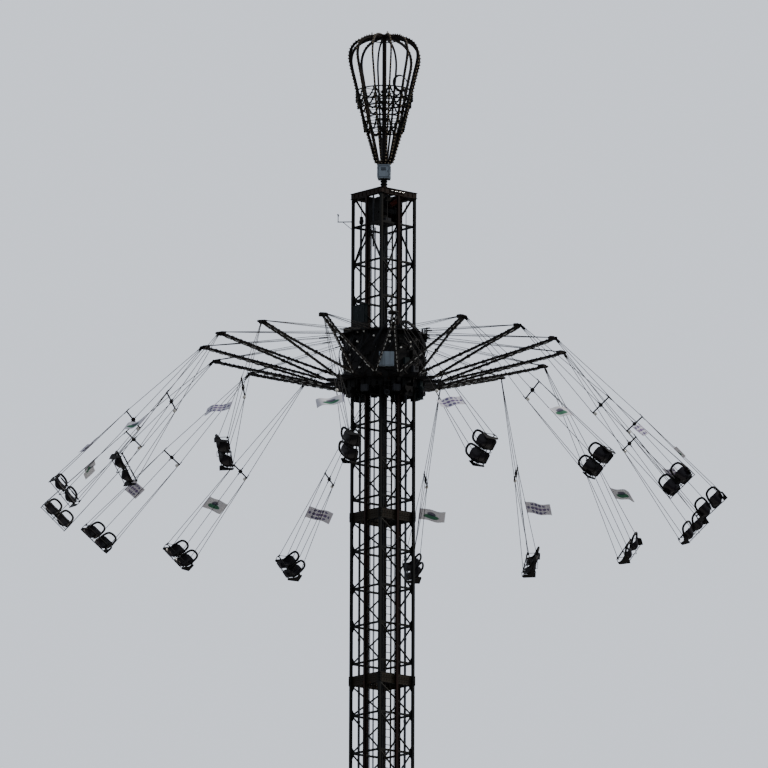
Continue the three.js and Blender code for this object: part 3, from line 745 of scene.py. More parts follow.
def tower_legs():
    piece = Piece()
    x, y = LEG_PLACE, -LEG_PLACE
    outline = square_outline(LEG_SIZE, LEG_SIZE)
    piece.section(outline, (x, y, 0.041), (x, y, CROWN_BOTTOM))
    half = LEG_SIZE / 2 + COVER_THICKNESS
    for joint in JOINTS[1:]:
        low, high = joint - COVER_HEIGHT / 2, joint + COVER_HEIGHT / 2
        piece.box((x - half + 0.02, y - half, low), (x + half, y - half + COVER_THICKNESS, high))
        piece.box((x + half - COVER_THICKNESS, y - half, low), (x + half, y + half - 0.02, high))
        for offset in (-0.013, 0.013):
            plate = square_outline(FLANGE_SIZE, FLANGE_SIZE, 0.02)
            piece.section(plate, (x, y, joint + offset - 0.01), (x, y, joint + offset + 0.01))
    for reach in (0.09, -0.09):
        piece.bar((x, y, 0.13), (x + 2 * reach, y, 0.085), 0.014, 0.08, edge=0.0)
        piece.bar((x, y, 0.13), (x, y + 2 * reach, 0.085), 0.014, 0.08, edge=0.0)
    return piece.copies_about_axis(4)


leg_nodes = [f"tower_leg_{k}" for k in range(1, 5)]
dress("tower_legs", tower_legs(), "tower_paint", replaced=leg_nodes)


# %% Horizontals, gussets and joint bands
GUSSET = (0.15, 0.22)


def tower_bars():
    """Horizontals, with a gusset where a brace starts and ends."""
    piece = Piece()
    outline = square_outline(SIDE_DEPTH, BAR_HEIGHT, 0.006)
    heights = sorted({height for joint in JOINTS for height in bar_heights(joint)})
    for height in heights + [BASE_TOP + BAR_HEIGHT / 2]:
        piece.section(outline, (-SIDE_HALF, -SIDE_PLACE, height), (SIDE_HALF, -SIDE_PLACE, height))
    gusset = box_matrix(Vector((0, -SIDE_PLACE, 0)), EAST, UP, -NORTH)
    across, down = GUSSET
    for kind, lower, upper in PANELS:
        if kind == "braced":
            for x, height, way in ((-SIDE_HALF, upper, 1), (SIDE_HALF, lower, -1)):
                corner = [(x, height), (x, height - way * down), (x + way * across, height)]
                piece.plate(corner, 0.012, gusset)
        if kind == "upturned V":
            piece.plate([(-across, upper), (0, upper - 0.2), (across, upper)], 0.012, gusset)
    return piece.copies_about_axis(4)


dress("tower_bars", tower_bars(), "tower_paint")


def tower_bands():
    """The deep plates at the joints, with a lip along each edge and a seam between the sections."""
    piece = Piece()
    lip = square_outline(SIDE_DEPTH, 0.014, 0.003)
    half = BAND_HEIGHT / 2
    for joint in JOINTS[1:]:
        for low, high in ((joint - half, joint - 0.004), (joint + 0.004, joint + half)):
            piece.box((-SIDE_HALF, -SIDE_PLACE - 0.012, low), (SIDE_HALF, -SIDE_PLACE, high))
            for height in (low + 0.007, high - 0.007):
                piece.section(lip, (-SIDE_HALF, -SIDE_PLACE, height), (SIDE_HALF, -SIDE_PLACE, height))
        for x in (-0.5, -0.25, 0.0, 0.25, 0.5):
            piece.box((x - 0.006, -SIDE_PLACE, joint - half + 0.014),
                      (x + 0.006, -SIDE_PLACE + SIDE_DEPTH / 2, joint + half - 0.014))
    return piece.copies_about_axis(4)


dress("tower_bands", tower_bands(), "flange_paint")

# %% [markdown]
# The braces are lines in a wire model, one line a brace, and the first node tree turns each line
# into a round bar. They run from top left to bottom right on every side, seen from outside.


# %% Round braces
BRACE_RADIUS = 0.032


def quarter_copies(lines):
    """Lines, or bolts given as a place and a way, on all four sides of the tower."""
    turns = [Matrix.Rotation(pi / 2 * k, 3, "Z") for k in range(4)]
    return [[turn @ Vector(p) for p in line] for turn in turns for line in lines]


def brace_lines():
    lines = []
    for kind, lower, upper in PANELS:
        top, foot = upper - 0.03, lower + 0.03
        starts = {"braced": (-SIDE_HALF,), "upturned V": (0, 0)}.get(kind, ())
        for start, end in zip(starts, (SIDE_HALF, -SIDE_HALF)):
            lines.append([(start, -SIDE_PLACE, top), (end, -SIDE_PLACE, foot)])
    return quarter_copies(lines)


lattice_nodes = [f"tower_lattice_{side}" for side in ("south", "east", "north", "west")]
dress("tower_braces", swept(brace_lines(), BRACE_RADIUS, "tower_paint"), "tower_paint",
      replaced=lattice_nodes)

# %% Guide rails and their clips
RAIL_WIDTH = 0.09
RAIL_INNER = SIDE_PLACE + SIDE_DEPTH / 2 + 0.0003
RAIL_DEPTH = 0.078
RAIL_MIDDLE = -RAIL_INNER - RAIL_DEPTH / 2
CLIP_FACE = -RAIL_INNER - 0.026


def guide_rails():
    piece = Piece()
    outline = rail_outline(RAIL_WIDTH, RAIL_DEPTH)
    piece.section(outline, (0, RAIL_MIDDLE, BASE_TOP + 0.001), (0, RAIL_MIDDLE, CROWN_BOTTOM - 0.001))
    for joint in JOINTS[1:]:
        for x in (-0.024, 0.010):
            piece.box((x, RAIL_MIDDLE - 0.022, joint - 0.2), (x + 0.014, RAIL_MIDDLE + 0.022, joint + 0.2))
    return piece.copies_about_axis(4)


rail_nodes = [f"guide_rail_{side}" for side in ("south", "east", "north", "west")]
dress("guide_rails", guide_rails(), "rail_paint", replaced=rail_nodes)


def rail_clips():
    piece = Piece()
    for height in (height for joint in JOINTS for height in bar_heights(joint)):
        for x in (-0.105, 0.04):
            piece.box((x, CLIP_FACE, height - 0.03), (x + 0.065, -RAIL_INNER + 0.001, height + 0.03))
    return piece.copies_about_axis(4)


dress("rail_clips", rail_clips(), "ladder_paint")

# %% [markdown]
# Bolt heads are only a few centimetres across, but there are about a thousand. Each is a
# point with the way that it faces, and the third node tree stands a six-sided head on it.


# %% Bolt heads of the tower
BOLT_RADIUS = 0.017
BOLT_HEIGHT = 0.022


def tower_bolt_spots():
    """Bolts of one side's joint bands, leg covers and rail clips: a place, and the way it faces."""
    out = BOLT_HEIGHT / 2
    band, clip = -SIDE_PLACE - 0.012 - out, CLIP_FACE - out
    cover = -LEG_PLACE - LEG_SIZE / 2 - COVER_THICKNESS - out
    spots = []
    for joint in JOINTS[1:]:
        spots += [(-0.66 + 0.12 * k, band, joint + z) for z in (-0.075, 0.075) for k in range(12)]
        spots += [(leg + x, cover, joint + z) for z in (-0.13, -0.06, 0.06, 0.13) for x in (-0.025, 0.025)
                  for leg in (-LEG_PLACE, LEG_PLACE)]
    for joint in JOINTS:
        spots += [(x, clip, height) for height in bar_heights(joint) for x in (-0.08, 0.08)]
    return [(Vector(spot), -NORTH) for spot in spots]


def foot_bolt_spots():
    top = 0.04 + BOLT_HEIGHT / 2
    offsets = (-0.18, 0.18)
    return [(Vector((LEG_PLACE + x, -LEG_PLACE + y, top)), UP) for x in offsets for y in offsets]


tower_spots = quarter_copies(tower_bolt_spots() + foot_bolt_spots())
dress("tower_bolts", studs(tower_spots, BOLT_RADIUS, BOLT_HEIGHT, "ladder_paint"), "ladder_paint")
print("bolt heads on the tower:", len(tower_spots))

# %% [markdown]
# ## Inside the tower
#
# A ladder stands against the east side. A spine pipe, two conduits, four pairs of hoist ropes and
# four guide ropes run from the base to the crown. The rungs and the ropes are lines too, swept by
# the first node tree.

# %% Ladder
LADDER_X = 0.62
LADDER_SIDES = (-0.40, -0.10)
RUNG_PITCH = 0.28
LADDER_LOW = BASE_TOP + RUNG_PITCH / 2
LADDER_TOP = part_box("ladder")[1][2]


def ladder_stiles():
    """Two stiles, held by a short bar to the lattice at every joint."""
    piece = Piece()
    outline = square_outline(0.044, 0.021, 0.004)
    for y in LADDER_SIDES:
        piece.section(outline, (LADDER_X, y, LADDER_LOW), (LADDER_X, y, LADDER_TOP))
        for joint in JOINTS[1:]:
            wall = SIDE_PLACE - SIDE_DEPTH / 2
            piece.box((LADDER_X, y - 0.01, joint - 0.022), (wall, y + 0.01, joint + 0.022))
    return piece


def rung_lines():
    count = int((LADDER_TOP - LADDER_LOW - RUNG_PITCH / 2) / RUNG_PITCH) + 1
    heights = [LADDER_LOW + RUNG_PITCH / 2 + RUNG_PITCH * k for k in range(count)]
    return [[(LADDER_X, y, height) for y in LADDER_SIDES] for height in heights if height < LADDER_TOP]


dress("ladder_stiles", ladder_stiles(), "ladder_paint", replaced=["ladder"])
dress("ladder_rungs", swept(rung_lines(), 0.015, "ladder_paint"), "ladder_paint")
print("ladder rungs:", len(rung_lines()))

# %% Pipes, conduits and hoist ropes
SERVICE_LOW = BASE_TOP + RUNG_PITCH
SERVICE_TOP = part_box("service_run")[1][2]
CONDUITS = ((-0.600, -0.575), (0.600, 0.575))
ROPES = ((-0.48, 0.0), (0.48, 0.0), (0.0, -0.6), (0.0, 0.6))
ROPE_GAP = 0.05
GUIDE_ROPES = ((-0.43, -0.70), (0.70, -0.43), (0.43, 0.70), (-0.70, 0.43))


def upright(x, y):
    return [(x, y, SERVICE_LOW), (x, y, SERVICE_TOP)]


def upright_pipe(piece, x, y):
    """A pipe from the base to the machine block, with a coupling sleeve every half section."""
    piece.tube(upright(x, y), 0.044, 16)
    height = SERVICE_LOW + 1.5
    while height < SERVICE_TOP - 0.5:
        piece.tube([(x, y, height), (x, y, height + 0.09)], 0.054, 16)
        height += SECTION_HEIGHT / 2
    return piece


def service_pipes():
    piece = upright_pipe(Piece(), 0.0, 0.0)
    reach = SIDE_PLACE - SIDE_DEPTH / 2
    clamp = square_outline(0.05, 0.05, 0.006)
    for joint in JOINTS[1:]:
        for start, end in (((-reach, 0), (reach, 0)), ((0, -reach), (0, reach)), CONDUITS):
            piece.section(clamp, (*start, joint), (*end, joint))
    return piece


dress("service_pipes", service_pipes(), "pipe_dark", replaced=["service_run"])
conduits = Piece()
for place in CONDUITS:
    upright_pipe(conduits, *place)
dress("conduits", conduits, "pipe_grey")
hoist_lines = [upright(x + side * ROPE_GAP / 2, y) for x, y in ROPES for side in (-1, 1)]
hoist_lines += [[(x, y, SERVICE_LOW), (x, y, CROWN_BOTTOM + 0.01)] for x, y in GUIDE_ROPES]
dress("hoist_ropes", swept(hoist_lines, 0.014, "rope_steel"), "rope_steel")

# %% [markdown]
# ## The crown and its machine block
#
# Square beams close the tower's top. Below them hangs the machine block that lifts the carriage:
# four cheek plates with six rope sheaves between them, a motor, a gearbox and a drive cabinet. A
# ram, a pulley and a conduit stand beside it. The beams are open channels here, so daylight shows
# between them from below, as on the real tower.

# %% Finish on the construction piece that stays
base_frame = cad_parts["base_frame"]
base_frame.data.materials.clear()
base_frame.data.materials.append(PAINTS["tower_paint"])
print("painted as it is:", base_frame.name)

# %% Machine block
BLOCK_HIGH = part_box("sheave_housing")[1]
SHEAVE_RADIUS = 0.27
SHEAVE_AXLES = ((-0.14, 0.40), (0.18, 0.55))  # east of the axis, and below the block's top
LYING = Matrix.Rotation(pi / 2, 4, "X")


def mirrored(half):
    """A turned outline from its lower half, which is repeated upside down."""
    return half + [(radius, -height) for radius, height in reversed(half)]


def sheave_profile(width):
    """A rope wheel: rim flanges, a groove between them, and a hub on the axle."""
    low = -width / 2
    r = SHEAVE_RADIUS
    half = [(0.0, low - 0.02), (0.06, low - 0.02), (0.06, low), (0.10, low), (r - 0.05, low + 0.012),
            (r, low), (r, low + 0.012)]
    full = mirrored(half)
    return full[:7] + [(r - 0.028, 0.0)] + full[7:]


def machine_block():
    """Cheek plates, spacers, axles, and a gearbox with its finned motor."""
    piece = Piece()
    high = BLOCK_HIGH.z
    half = [(0.44, high - 0.02), (0.44, high - 0.62), (0.30, high - 0.90)]
    for y in (-0.40, -0.13, 0.14, 0.41):
        outline = [(-x, z) for x, z in half] + half[::-1]
        piece.plate(outline, 0.02, box_matrix(Vector((0, y, 0)), EAST, UP, -NORTH))
    for x in (-0.42, 0.42):
        for low, top in ((0.60, 0.44), (0.16, 0.02)):
            piece.box((x - 0.02, -0.40, high - low), (x + 0.02, 0.41, high - top))
    piece.box((-0.30, -0.42, high - 0.93), (0.30, 0.43, high - 0.90))
    for x, drop in SHEAVE_AXLES:
        piece.rod((x, -0.44, high - drop), NORTH * 0.88, 0.035, 12)
    shaft = Vector((0.02, -0.27, high - 0.79))
    piece.section(square_outline(0.22, 0.26, 0.03), shaft - EAST * 0.45, shaft)
    piece.rod(shaft, EAST * 0.40, 0.105, 20)
    for fin in range(9):
        piece.rod(shaft + EAST * (0.04 + 0.036 * fin), EAST * 0.010, 0.118, 20)
    return piece


def sheaves():
    piece = Piece()
    for x, drop in SHEAVE_AXLES:
        for y in (-0.265, 0.0, 0.275):
            place = Matrix.Translation((x, y, BLOCK_HIGH.z - drop)) @ LYING
            piece.lathe(sheave_profile(0.11), 28, place)
    return piece


dress("machine_block", machine_block(), "housing_paint", replaced=["sheave_housing"])
dress("sheaves", sheaves(), "rail_paint")


def bevelled_box(name, low, high, paint, body="tower", replaced=(), slot=None, width=0.012):
    """A folded sheet box: one box with softly rounded edges."""
    work = bmesh.new()
    bmesh.ops.create_cube(work, size=1.0, matrix=box_between(low, high))
    bmesh.ops.bevel(work, geom=work.edges[:], offset=width, segments=2, affect="EDGES")
    return dress(name, from_bmesh(name, work), paint, body, replaced, slot)


top = BLOCK_HIGH.z
bevelled_box("drive_cabinet", (0.40, -0.36, top - 0.97), (0.52, -0.08, top - 0.80), "box_grey",
             slot="housing_paint")


# %% Crown beams, knees, and a row of lamps
CROWN_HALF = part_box("crown_frame")[1][0]
CHANNEL_DEPTH = 0.16
KNEE_FOOT = CROWN_BOTTOM - 0.83


def crown_beams():
    """Four channel beams, open on the inside, with a thin lip, stubs on the legs and knee bars."""
    piece = Piece()
    reach, leg = CROWN_HALF, LEG_PLACE
    inner = CROWN_HALF - CHANNEL_DEPTH
    plates = ((CROWN_TOP - 0.02, CROWN_TOP, inner, 0.0), (CROWN_BOTTOM, CROWN_BOTTOM + 0.018, inner, 0.0),
              (CROWN_BOTTOM + 0.018, CROWN_TOP - 0.02, reach - 0.034, 0.022))
    for low, high, near, shrink in plates:
        piece.box((-reach + shrink, -reach + shrink, low), (reach - shrink, -near, high))
    for k in range(-3, 4):
        x = 0.22 * k
        piece.box((x - 0.006, -reach + 0.004, CROWN_BOTTOM + 0.016),
                  (x + 0.006, -inner - 0.02, CROWN_TOP - 0.018))
    stub = square_outline(LEG_SIZE, LEG_SIZE)
    piece.section(stub, (leg, -leg, CROWN_BOTTOM), (leg, -leg, CROWN_TOP - 0.01))
    piece.bar((0.74, -0.74, CROWN_BOTTOM + 0.03), (0.375, -0.375, KNEE_FOOT), 0.075, 0.075)
    gusset = box_matrix(Vector((0, -leg, 0)), EAST, UP, -NORTH)
    for side in (-1, 1):
        corner = [(0.05, 0.0), (0.05, 0.16), (0.20, 0.0)]
        corner = [(side * (leg - near), CROWN_BOTTOM - drop) for near, drop in corner]
        piece.plate(corner, 0.012, gusset)
    return piece.copies_about_axis(4)


def mast_seat():
    """Two low cross bars on the beams, which carry the mast's foot and the machine block."""
    piece = Piece()
    reach, deck = CROWN_HALF - 0.14, CROWN_BOTTOM + 0.09
    for y in (-0.17, 0.17):
        piece.box((-reach, y - 0.04, CROWN_BOTTOM), (reach, y + 0.04, deck - 0.02))
    piece.box((-0.20, -0.21, deck - 0.02), (0.20, 0.21, deck))
    piece.tube([(0, 0, deck), (0, 0, CROWN_TOP)], 0.125, 24)
    for start, end in quarter_copies([[(0.12, 0, CROWN_TOP - 0.02), (0.19, 0, deck)]]):
        piece.bar(start, end, 0.014, 0.05)
    return piece


def lift_ram():
    """The slanting ram between the east beam and the block, as two tubes with their eyes."""
    high, low = Vector((0.735, 0.33, CROWN_BOTTOM + 0.06)), Vector((0.50, -0.10, CROWN_BOTTOM - 0.32))
    middle = high.lerp(low, 0.45)
    rod, barrel = Piece(), Piece()
    rod.tube([high, middle], 0.055, 14)
    rod.rod(high - NORTH * 0.09, NORTH * 0.18, 0.075, 14)
    barrel.tube([middle, low], 0.085, 16)
    rod.box(low - Vector((0.06, 0.07, 0.08)), low + Vector((0.05, 0.07, 0.05)))
    return rod, barrel


def crown_pulley():
    """A pulley in its block on the left guide rope, and a conduit past the machine block."""
    pulley, conduit = Piece(), Piece()
    spot = Vector((*GUIDE_ROPES[0], CROWN_BOTTOM - 0.86))
    wheel = mirrored([(0.0, -0.05), (0.07, -0.05), (0.10, -0.03), (0.12, -0.012)])
    pulley.lathe(wheel, 24, Matrix.Translation(spot) @ LYING)
    pulley.box(spot - Vector((0.03, 0.06, 0.04)), spot + Vector((0.03, 0.06, 0.18)))
    for drop, length, radius in ((1.9, 1.9, 0.032), (0.5, 0.06, 0.042), (1.2, 0.06, 0.042)):
        conduit.rod((0.24, -0.70, CROWN_BOTTOM - drop), UP * length, radius, 12)
    return pulley, conduit


pulley, conduit = crown_pulley()
dress("crown_pulley", pulley, "housing_paint")
dress("crown_conduit", conduit, "box_grey")
dress("crown_beams", crown_beams(), "crown_paint", replaced=["crown_frame"])
dress("mast_seat", mast_seat(), "housing_paint")
for word, part, paint in zip(("rod", "barrel"), lift_ram(), ("crown_paint", "orange_paint")):
    dress(f"ram_{word}", part, paint)
LAMP_ROW = [Vector((CROWN_HALF + 0.012, y, CROWN_TOP - 0.10)) for y in (-0.43, 0.25)]
dress("crown_lamps", light_tubes([LAMP_ROW], 0.17, 0.09, 0.014), "tube_glass")
row_start, row_end = LAMP_ROW
batten = Piece().box((CROWN_HALF - 0.024, row_start.y, row_start.z - 0.012),
                     (CROWN_HALF + 0.003, row_end.y, row_start.z + 0.012))
dress("crown_lamp_batten", batten, "crown_paint")

# %% [markdown]
# ## The mast and its light cage
#
# A ribbed post carries a small switch cabinet, and above it stands the light cage: twelve ribs that
# bow out like a balloon's seams, with bulbs along each. A rib is cut from plate along one smooth
# curve through a few radii, with a bar on either side, and its copies come from the fourth node
# tree. Three rows of garlands hang between the rings round the cage's waist.

# %% Post and switch cabinet
POST_TOP = CROWN_TOP + 0.535
POST_RADIUS = 0.105
POST_RIB = 0.134
POST_RIBS = 5


def mast_post():
    low = CROWN_TOP + 0.0004
    pitch = (POST_TOP - low - 0.001) / POST_RIBS
    profile = [(0.0, low)]
    for k in range(POST_RIBS):
        foot = low + pitch * k
        shape = ((POST_RIB - 0.006, 0.0), (POST_RIB, 0.05), (POST_RIB, 0.28), (POST_RIB - 0.006, 0.33))
        shape += ((POST_RADIUS, 0.48), (POST_RADIUS, 0.9))
        profile += [(radius, foot + pitch * share) for radius, share in shape]
    profile += [(POST_RIB, POST_TOP - 0.001), (0.0, POST_TOP - 0.001)]
    return Piece().lathe(profile, 32)


dress("mast_post", mast_post(), "housing_paint", replaced=["mast_post"])
SWITCH_LOW, SWITCH_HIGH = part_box("mast_cabinet")
WALL = Vector((0.012, 0.012, 0.0))
lid = UP * 0.03
switch_turn = Matrix.Rotation(pi / 4, 4, "Z")
switch_cabinet = bevelled_box("switch_cabinet", SWITCH_LOW + WALL, SWITCH_HIGH - WALL - lid,
                              "cabinet_paint", replaced=["mast_cabinet"], width=0.014)
lid_low = Vector((SWITCH_LOW.x, SWITCH_LOW.y, SWITCH_HIGH.z - 0.035))
switch_lid = bevelled_box("switch_cabinet_lid", lid_low, SWITCH_HIGH, "cabinet_paint", width=0.01)
for made in (switch_cabinet, switch_lid):
    made.data.transform(switch_turn)


def relief_on(face, rows):
    """Strips let into a box's south face, from rows of depth, two x values and two heights."""
    piece = Piece()
    for depth, x_low, x_high, low, high in rows:
        piece.box((x_low, face + depth, low), (x_high, face + 0.02, high))
    return piece


def cabinet_fittings():
    """A door frame, two hinges, a handle and louvres on each side of the switch cabinet."""
    low, high = SWITCH_LOW.z + 0.05, SWITCH_HIGH.z - 0.07
    middle = (low + high) / 2
    rows = [(0.003, x, x + 0.008, low, high) for x in (-0.19, 0.185)]
    rows += [(0.003, -0.19, 0.193, height, height + 0.008) for height in (low, high)]
    rows += [(0.001, -0.215, -0.185, height, height + 0.05) for height in (low + 0.06, high - 0.10)]
    rows.append((0.0005, 0.14, 0.155, middle - 0.03, middle + 0.03))
    slats = [high - 0.05 - 0.018 * slat for slat in range(7)]
    rows += [(0.004, -0.09, 0.09, height, height + 0.007) for height in slats]
    return relief_on(SWITCH_LOW.y, rows).copies_about_axis(4)


fittings = dress("switch_cabinet_fittings", cabinet_fittings(), "pipe_grey")
fittings.data.transform(switch_turn)

# %% Curve of a cage rib
RIB_COUNT = 12
RIB_KNOTS = (
    (0.10, 1.095), (0.24, 1.11), (0.345, 1.19), (0.40, 1.36), (0.47, 1.60), (0.55, 1.88), (0.685, 2.33),
    (0.84, 2.82), (0.97, 3.40),
    (1.08, 3.90), (1.20, 4.40), (1.30, 4.80), (1.335, 5.10), (1.28, 5.38), (1.12, 5.62), (0.85, 5.79),
    (0.48, 5.885), (0.10, 5.91),
)
RIB_AZIMUTHS = around(RIB_COUNT)
RING_HEIGHTS = (2.35, 2.78, 3.17, 3.43, 3.81)
RIB_STEPS = 3
RIB_DEPTH = 0.10
RIB_PLATE = 0.034


def smooth_curve(knots, steps):
    """A Catmull-Rom curve through the knots, with a few steps between each two."""
    knots = [Vector(k) for k in knots]
    ends = [2 * knots[0] - knots[1]] + knots + [2 * knots[-1] - knots[-2]]
    points = []
    for a, b, c, d in zip(ends, ends[1:], ends[2:], ends[3:]):
        for step in range(steps):
            t = step / steps
            points.append(0.5 * (2 * b + (c - a) * t + (2 * a - 5 * b + 4 * c - d) * t**2
                                 + (3 * b - 3 * c + d - a) * t**3))
    return points + [knots[-1]]


RIB_CURVE = smooth_curve(RIB_KNOTS, RIB_STEPS)


def rib_line(inset=0.0, first=0, last=None):
    """The rib's points in the plane x = 0, pushed inwards across its own direction by inset."""
    line = []
    for index, point in enumerate(RIB_CURVE):
        before = RIB_CURVE[max(index - 1, 0)]
        after = RIB_CURVE[min(index + 1, len(RIB_CURVE) - 1)]
        along = (after - before).normalized()
        radius = point.x - along.y * inset
        height = point.y + along.x * inset
        line.append(Vector((0.0, -max(radius, 0.05), CROWN_TOP + height)))
    return line[first:last]


def cage_rib():
    """A flat rib cut from plate, stiffened by a bar on each side near its outer edge."""
    outer, inner = rib_line(0.0), rib_line(RIB_DEPTH)
    outline = [(-point.y, point.z) for point in outer + inner[::-1]]
    piece = Piece()
    piece.plate(outline, RIB_PLATE, box_matrix(Vector(), -NORTH, UP, EAST))
    for side in (-1, 1):
        shift = Vector((side * RIB_PLATE / 2, 0, 0))
        piece.tube([point + shift for point in rib_line(0.02)], 0.018, 6)
    return piece


def cage_column():
    floor = SWITCH_HIGH.z + 0.0004 - CROWN_TOP
    profile = [(0.0, floor), (0.16, floor), (0.16, floor + 0.04), (0.08, floor + 0.06)]
    for ring in RING_HEIGHTS:
        profile += [(0.08, ring - 0.05), (0.12, ring - 0.04), (0.12, ring + 0.04), (0.08, ring + 0.05)]
    profile += [(0.08, 5.8), (0.14, 5.84), (0.14, 5.93), (0.0, 5.945)]
    return Piece().lathe([(radius, CROWN_TOP + height) for radius, height in profile], 24)


dress("cage_ribs", round_axis(cage_rib(), RIB_COUNT, 0.0, "cage_paint"), "cage_paint",
      replaced=["light_cage"])
dress("cage_column", cage_column(), "cage_paint")


# %% Rings of the cage
def rib_radius(height):
    """The cage's radius at a height above the crown."""
    for low, high in zip(RIB_CURVE, RIB_CURVE[1:]):
        if low.y <= height <= high.y:
            return low.x + (high.x - low.x) * (height - low.y) / (high.y - low.y)
    return RIB_CURVE[0].x


def circle(radius, height, steps=48):
    return [at(turn, radius, height) for turn in around(steps)]


HOOP_PLACE = (1.07, 3.92)
HOOP_RADIUS = 0.31


def cage_rings():
    """The waist's rings with their spokes, and two small rings that tie the ribs at the top."""
    piece = Piece()
    for height in RING_HEIGHTS:
        radius = rib_radius(height) - 0.06
        piece.tube(circle(radius, CROWN_TOP + height), 0.026, 6, closed=True)
        for azimuth in RIB_AZIMUTHS[::2]:
            ends = [at(azimuth, reach, CROWN_TOP + height) for reach in (0.1, radius)]
            piece.tube(ends, 0.014, 5)
    for radius, height in ((0.30, 5.85), (0.60, 5.81)):
        piece.tube(circle(radius, CROWN_TOP + height), 0.02, 6, closed=True)
    return piece


def cable_loop():
    """A spare length of lamp cable, coiled and hung on the upper ring."""
    azimuth = radians(83)
    radius, height = HOOP_PLACE
    piece = Piece()
    for turn in range(3):
        centre = at(azimuth, radius + 0.03 * (turn - 1), CROWN_TOP + height)
        coil = HOOP_RADIUS - 0.02 * turn
        path = [centre + (ahead_of(azimuth) * sin(t) + UP * cos(t)) * coil for t in around(28)]
        piece.tube(path, 0.018, 6, closed=True)
    return piece


dress("cage_rings", cage_rings(), "cage_paint")
dress("cage_cable_loop", cable_loop(), "housing_paint", slot="cage_paint")


def turned_line(line, azimuth):
    turn = Matrix.Rotation(azimuth, 3, "Z")
    return [turn @ point for point in line]


rib_bulbs = [turned_line(rib_line(-0.012, 3), azimuth) for azimuth in RIB_AZIMUTHS]
# the bulbs' pale finish is partly a painted glint of the sun
dress("cage_bulbs", beads(rib_bulbs, 0.125, 0.027, "cage_paint"), "cage_bulb")

# %% Garlands between the waist rings, and lamps on the cage's top
GARLANDS = ((3.86, 3.44, 0.07), (3.62, 3.20, 0.06), (2.80, 2.30, 0.06))


def garland_lines():
    """Loops of bulbs that hang from rib to rib, out from one ring and in again."""
    lines = []
    for high, low, out in GARLANDS:
        for azimuth in RIB_AZIMUTHS:
            line = []
            for step in range(9):
                share = step / 8
                sag = 4 * share * (1 - share)
                height = high - (high - low) * sag
                radius = rib_radius(height) + out * sag - 0.03
                line.append(at(azimuth + 2 * pi / RIB_COUNT * share, radius, CROWN_TOP + height))
            lines.append(line)
    return lines


garlands = Piece()
for line in garland_lines():
    garlands.tube(line, 0.026, 5)
dress("garlands", garlands, "garland")
dress("garland_bulbs", beads(garland_lines(), 0.10, 0.045, "garland"), "garland")


def top_lamps():
    piece = Piece()
    cap = [(0.0, 5.93), (0.05, 5.93), (0.05, 5.94), (0.035, 5.95), (0.035, 5.945), (0.0, 5.945)]
    piece.lathe([(radius, CROWN_TOP + height) for radius, height in cap], 16)
    for azimuth in RIB_AZIMUTHS[::2]:
        piece.rod(at(azimuth, 0.60, CROWN_TOP + 5.86), UP * 0.08, 0.03, 10)
    return piece


dress("top_lamps", top_lamps(), "lamp_glass")


# %% Wind gauge on its bracket
def wind_gauge():
    """An arm from the leg, an upright at its end, and a cross bar with a cup at either end."""
    piece = Piece()
    foot = Vector((-LEG_PLACE, -LEG_PLACE, CROWN_TOP - 1.04))
    outward, across = Vector((-1, -1, 0)).normalized(), Vector((1, -1, 0)).normalized()
    start, mast = foot + outward * (LEG_SIZE / 2), foot + outward * 0.55
    piece.tube([start, mast + outward * 0.02], 0.019, 10)
    piece.tube([start - UP * 0.28, foot + outward * 0.38], 0.012, 8)
    piece.rod(mast - UP * 0.02, UP * 0.27, 0.015, 10)
    ends = [mast + across * side + UP * 0.258 for side in (-0.088, 0.088)]
    piece.tube(ends, 0.014, 10)
    cup = [(0.0, -0.03), (0.02, -0.026), (0.03, -0.01), (0.03, 0.014), (0.0, 0.018)]
    for end in ends:
        piece.lathe(cup, 14, Matrix.Translation(end))
    return piece


dress("wind_gauge_bracket", wind_gauge(), "pipe_grey", replaced=["wind_gauge"])

# %% [markdown]
# ## The carriage and the turning hub
#
# The carriage is a sleeve with a roller unit on every rail, top and bottom, and the lower rollers
# hang below it on plates. The hub turns round it. Its drum is one closed profile with proud hoops
# at the heights where the arms' lugs and stays take hold, and its braces follow the arms.

# %% Carriage cabinet and fittings
BOX_LOW, BOX_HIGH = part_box("carriage_cabinet")
bevelled_box("carriage_box", BOX_LOW + WALL, BOX_HIGH - WALL - UP * 0.02, "teal_paint", "carriage",
             ["carriage_cabinet"])
bevelled_box("carriage_box_lid", (BOX_LOW.x, BOX_LOW.y, BOX_HIGH.z - 0.04), BOX_HIGH, "teal_paint",
             "carriage", width=0.008)


def carriage_fittings():
    """Door seams, handles and louvres on the carriage's box."""
    middle = (BOX_LOW.x + BOX_HIGH.x) / 2
    low, high = BOX_LOW.z + 0.05, BOX_HIGH.z - 0.08
    left, right = BOX_LOW.x + 0.04, BOX_HIGH.x - 0.04
    rows = [(0.004, x, x + 0.008, low, high) for x in (left, middle - 0.004, right - 0.008)]
    rows += [(0.004, left, right, height, height + 0.008) for height in (low, high)]
    for side in (-0.12, 0.12):
        slats = [high - 0.06 - 0.02 * slat for slat in range(6)]
        x = middle + side
        rows += [(0.005, x - 0.07, x + 0.07, height, height + 0.008) for height in slats]
        x = middle + side / 3
        rows.append((0.002, x - 0.008, x + 0.008, low + 0.2, low + 0.3))
    return relief_on(BOX_LOW.y, rows)


dress("carriage_box_fittings", carriage_fittings(), "pipe_grey", "carriage")

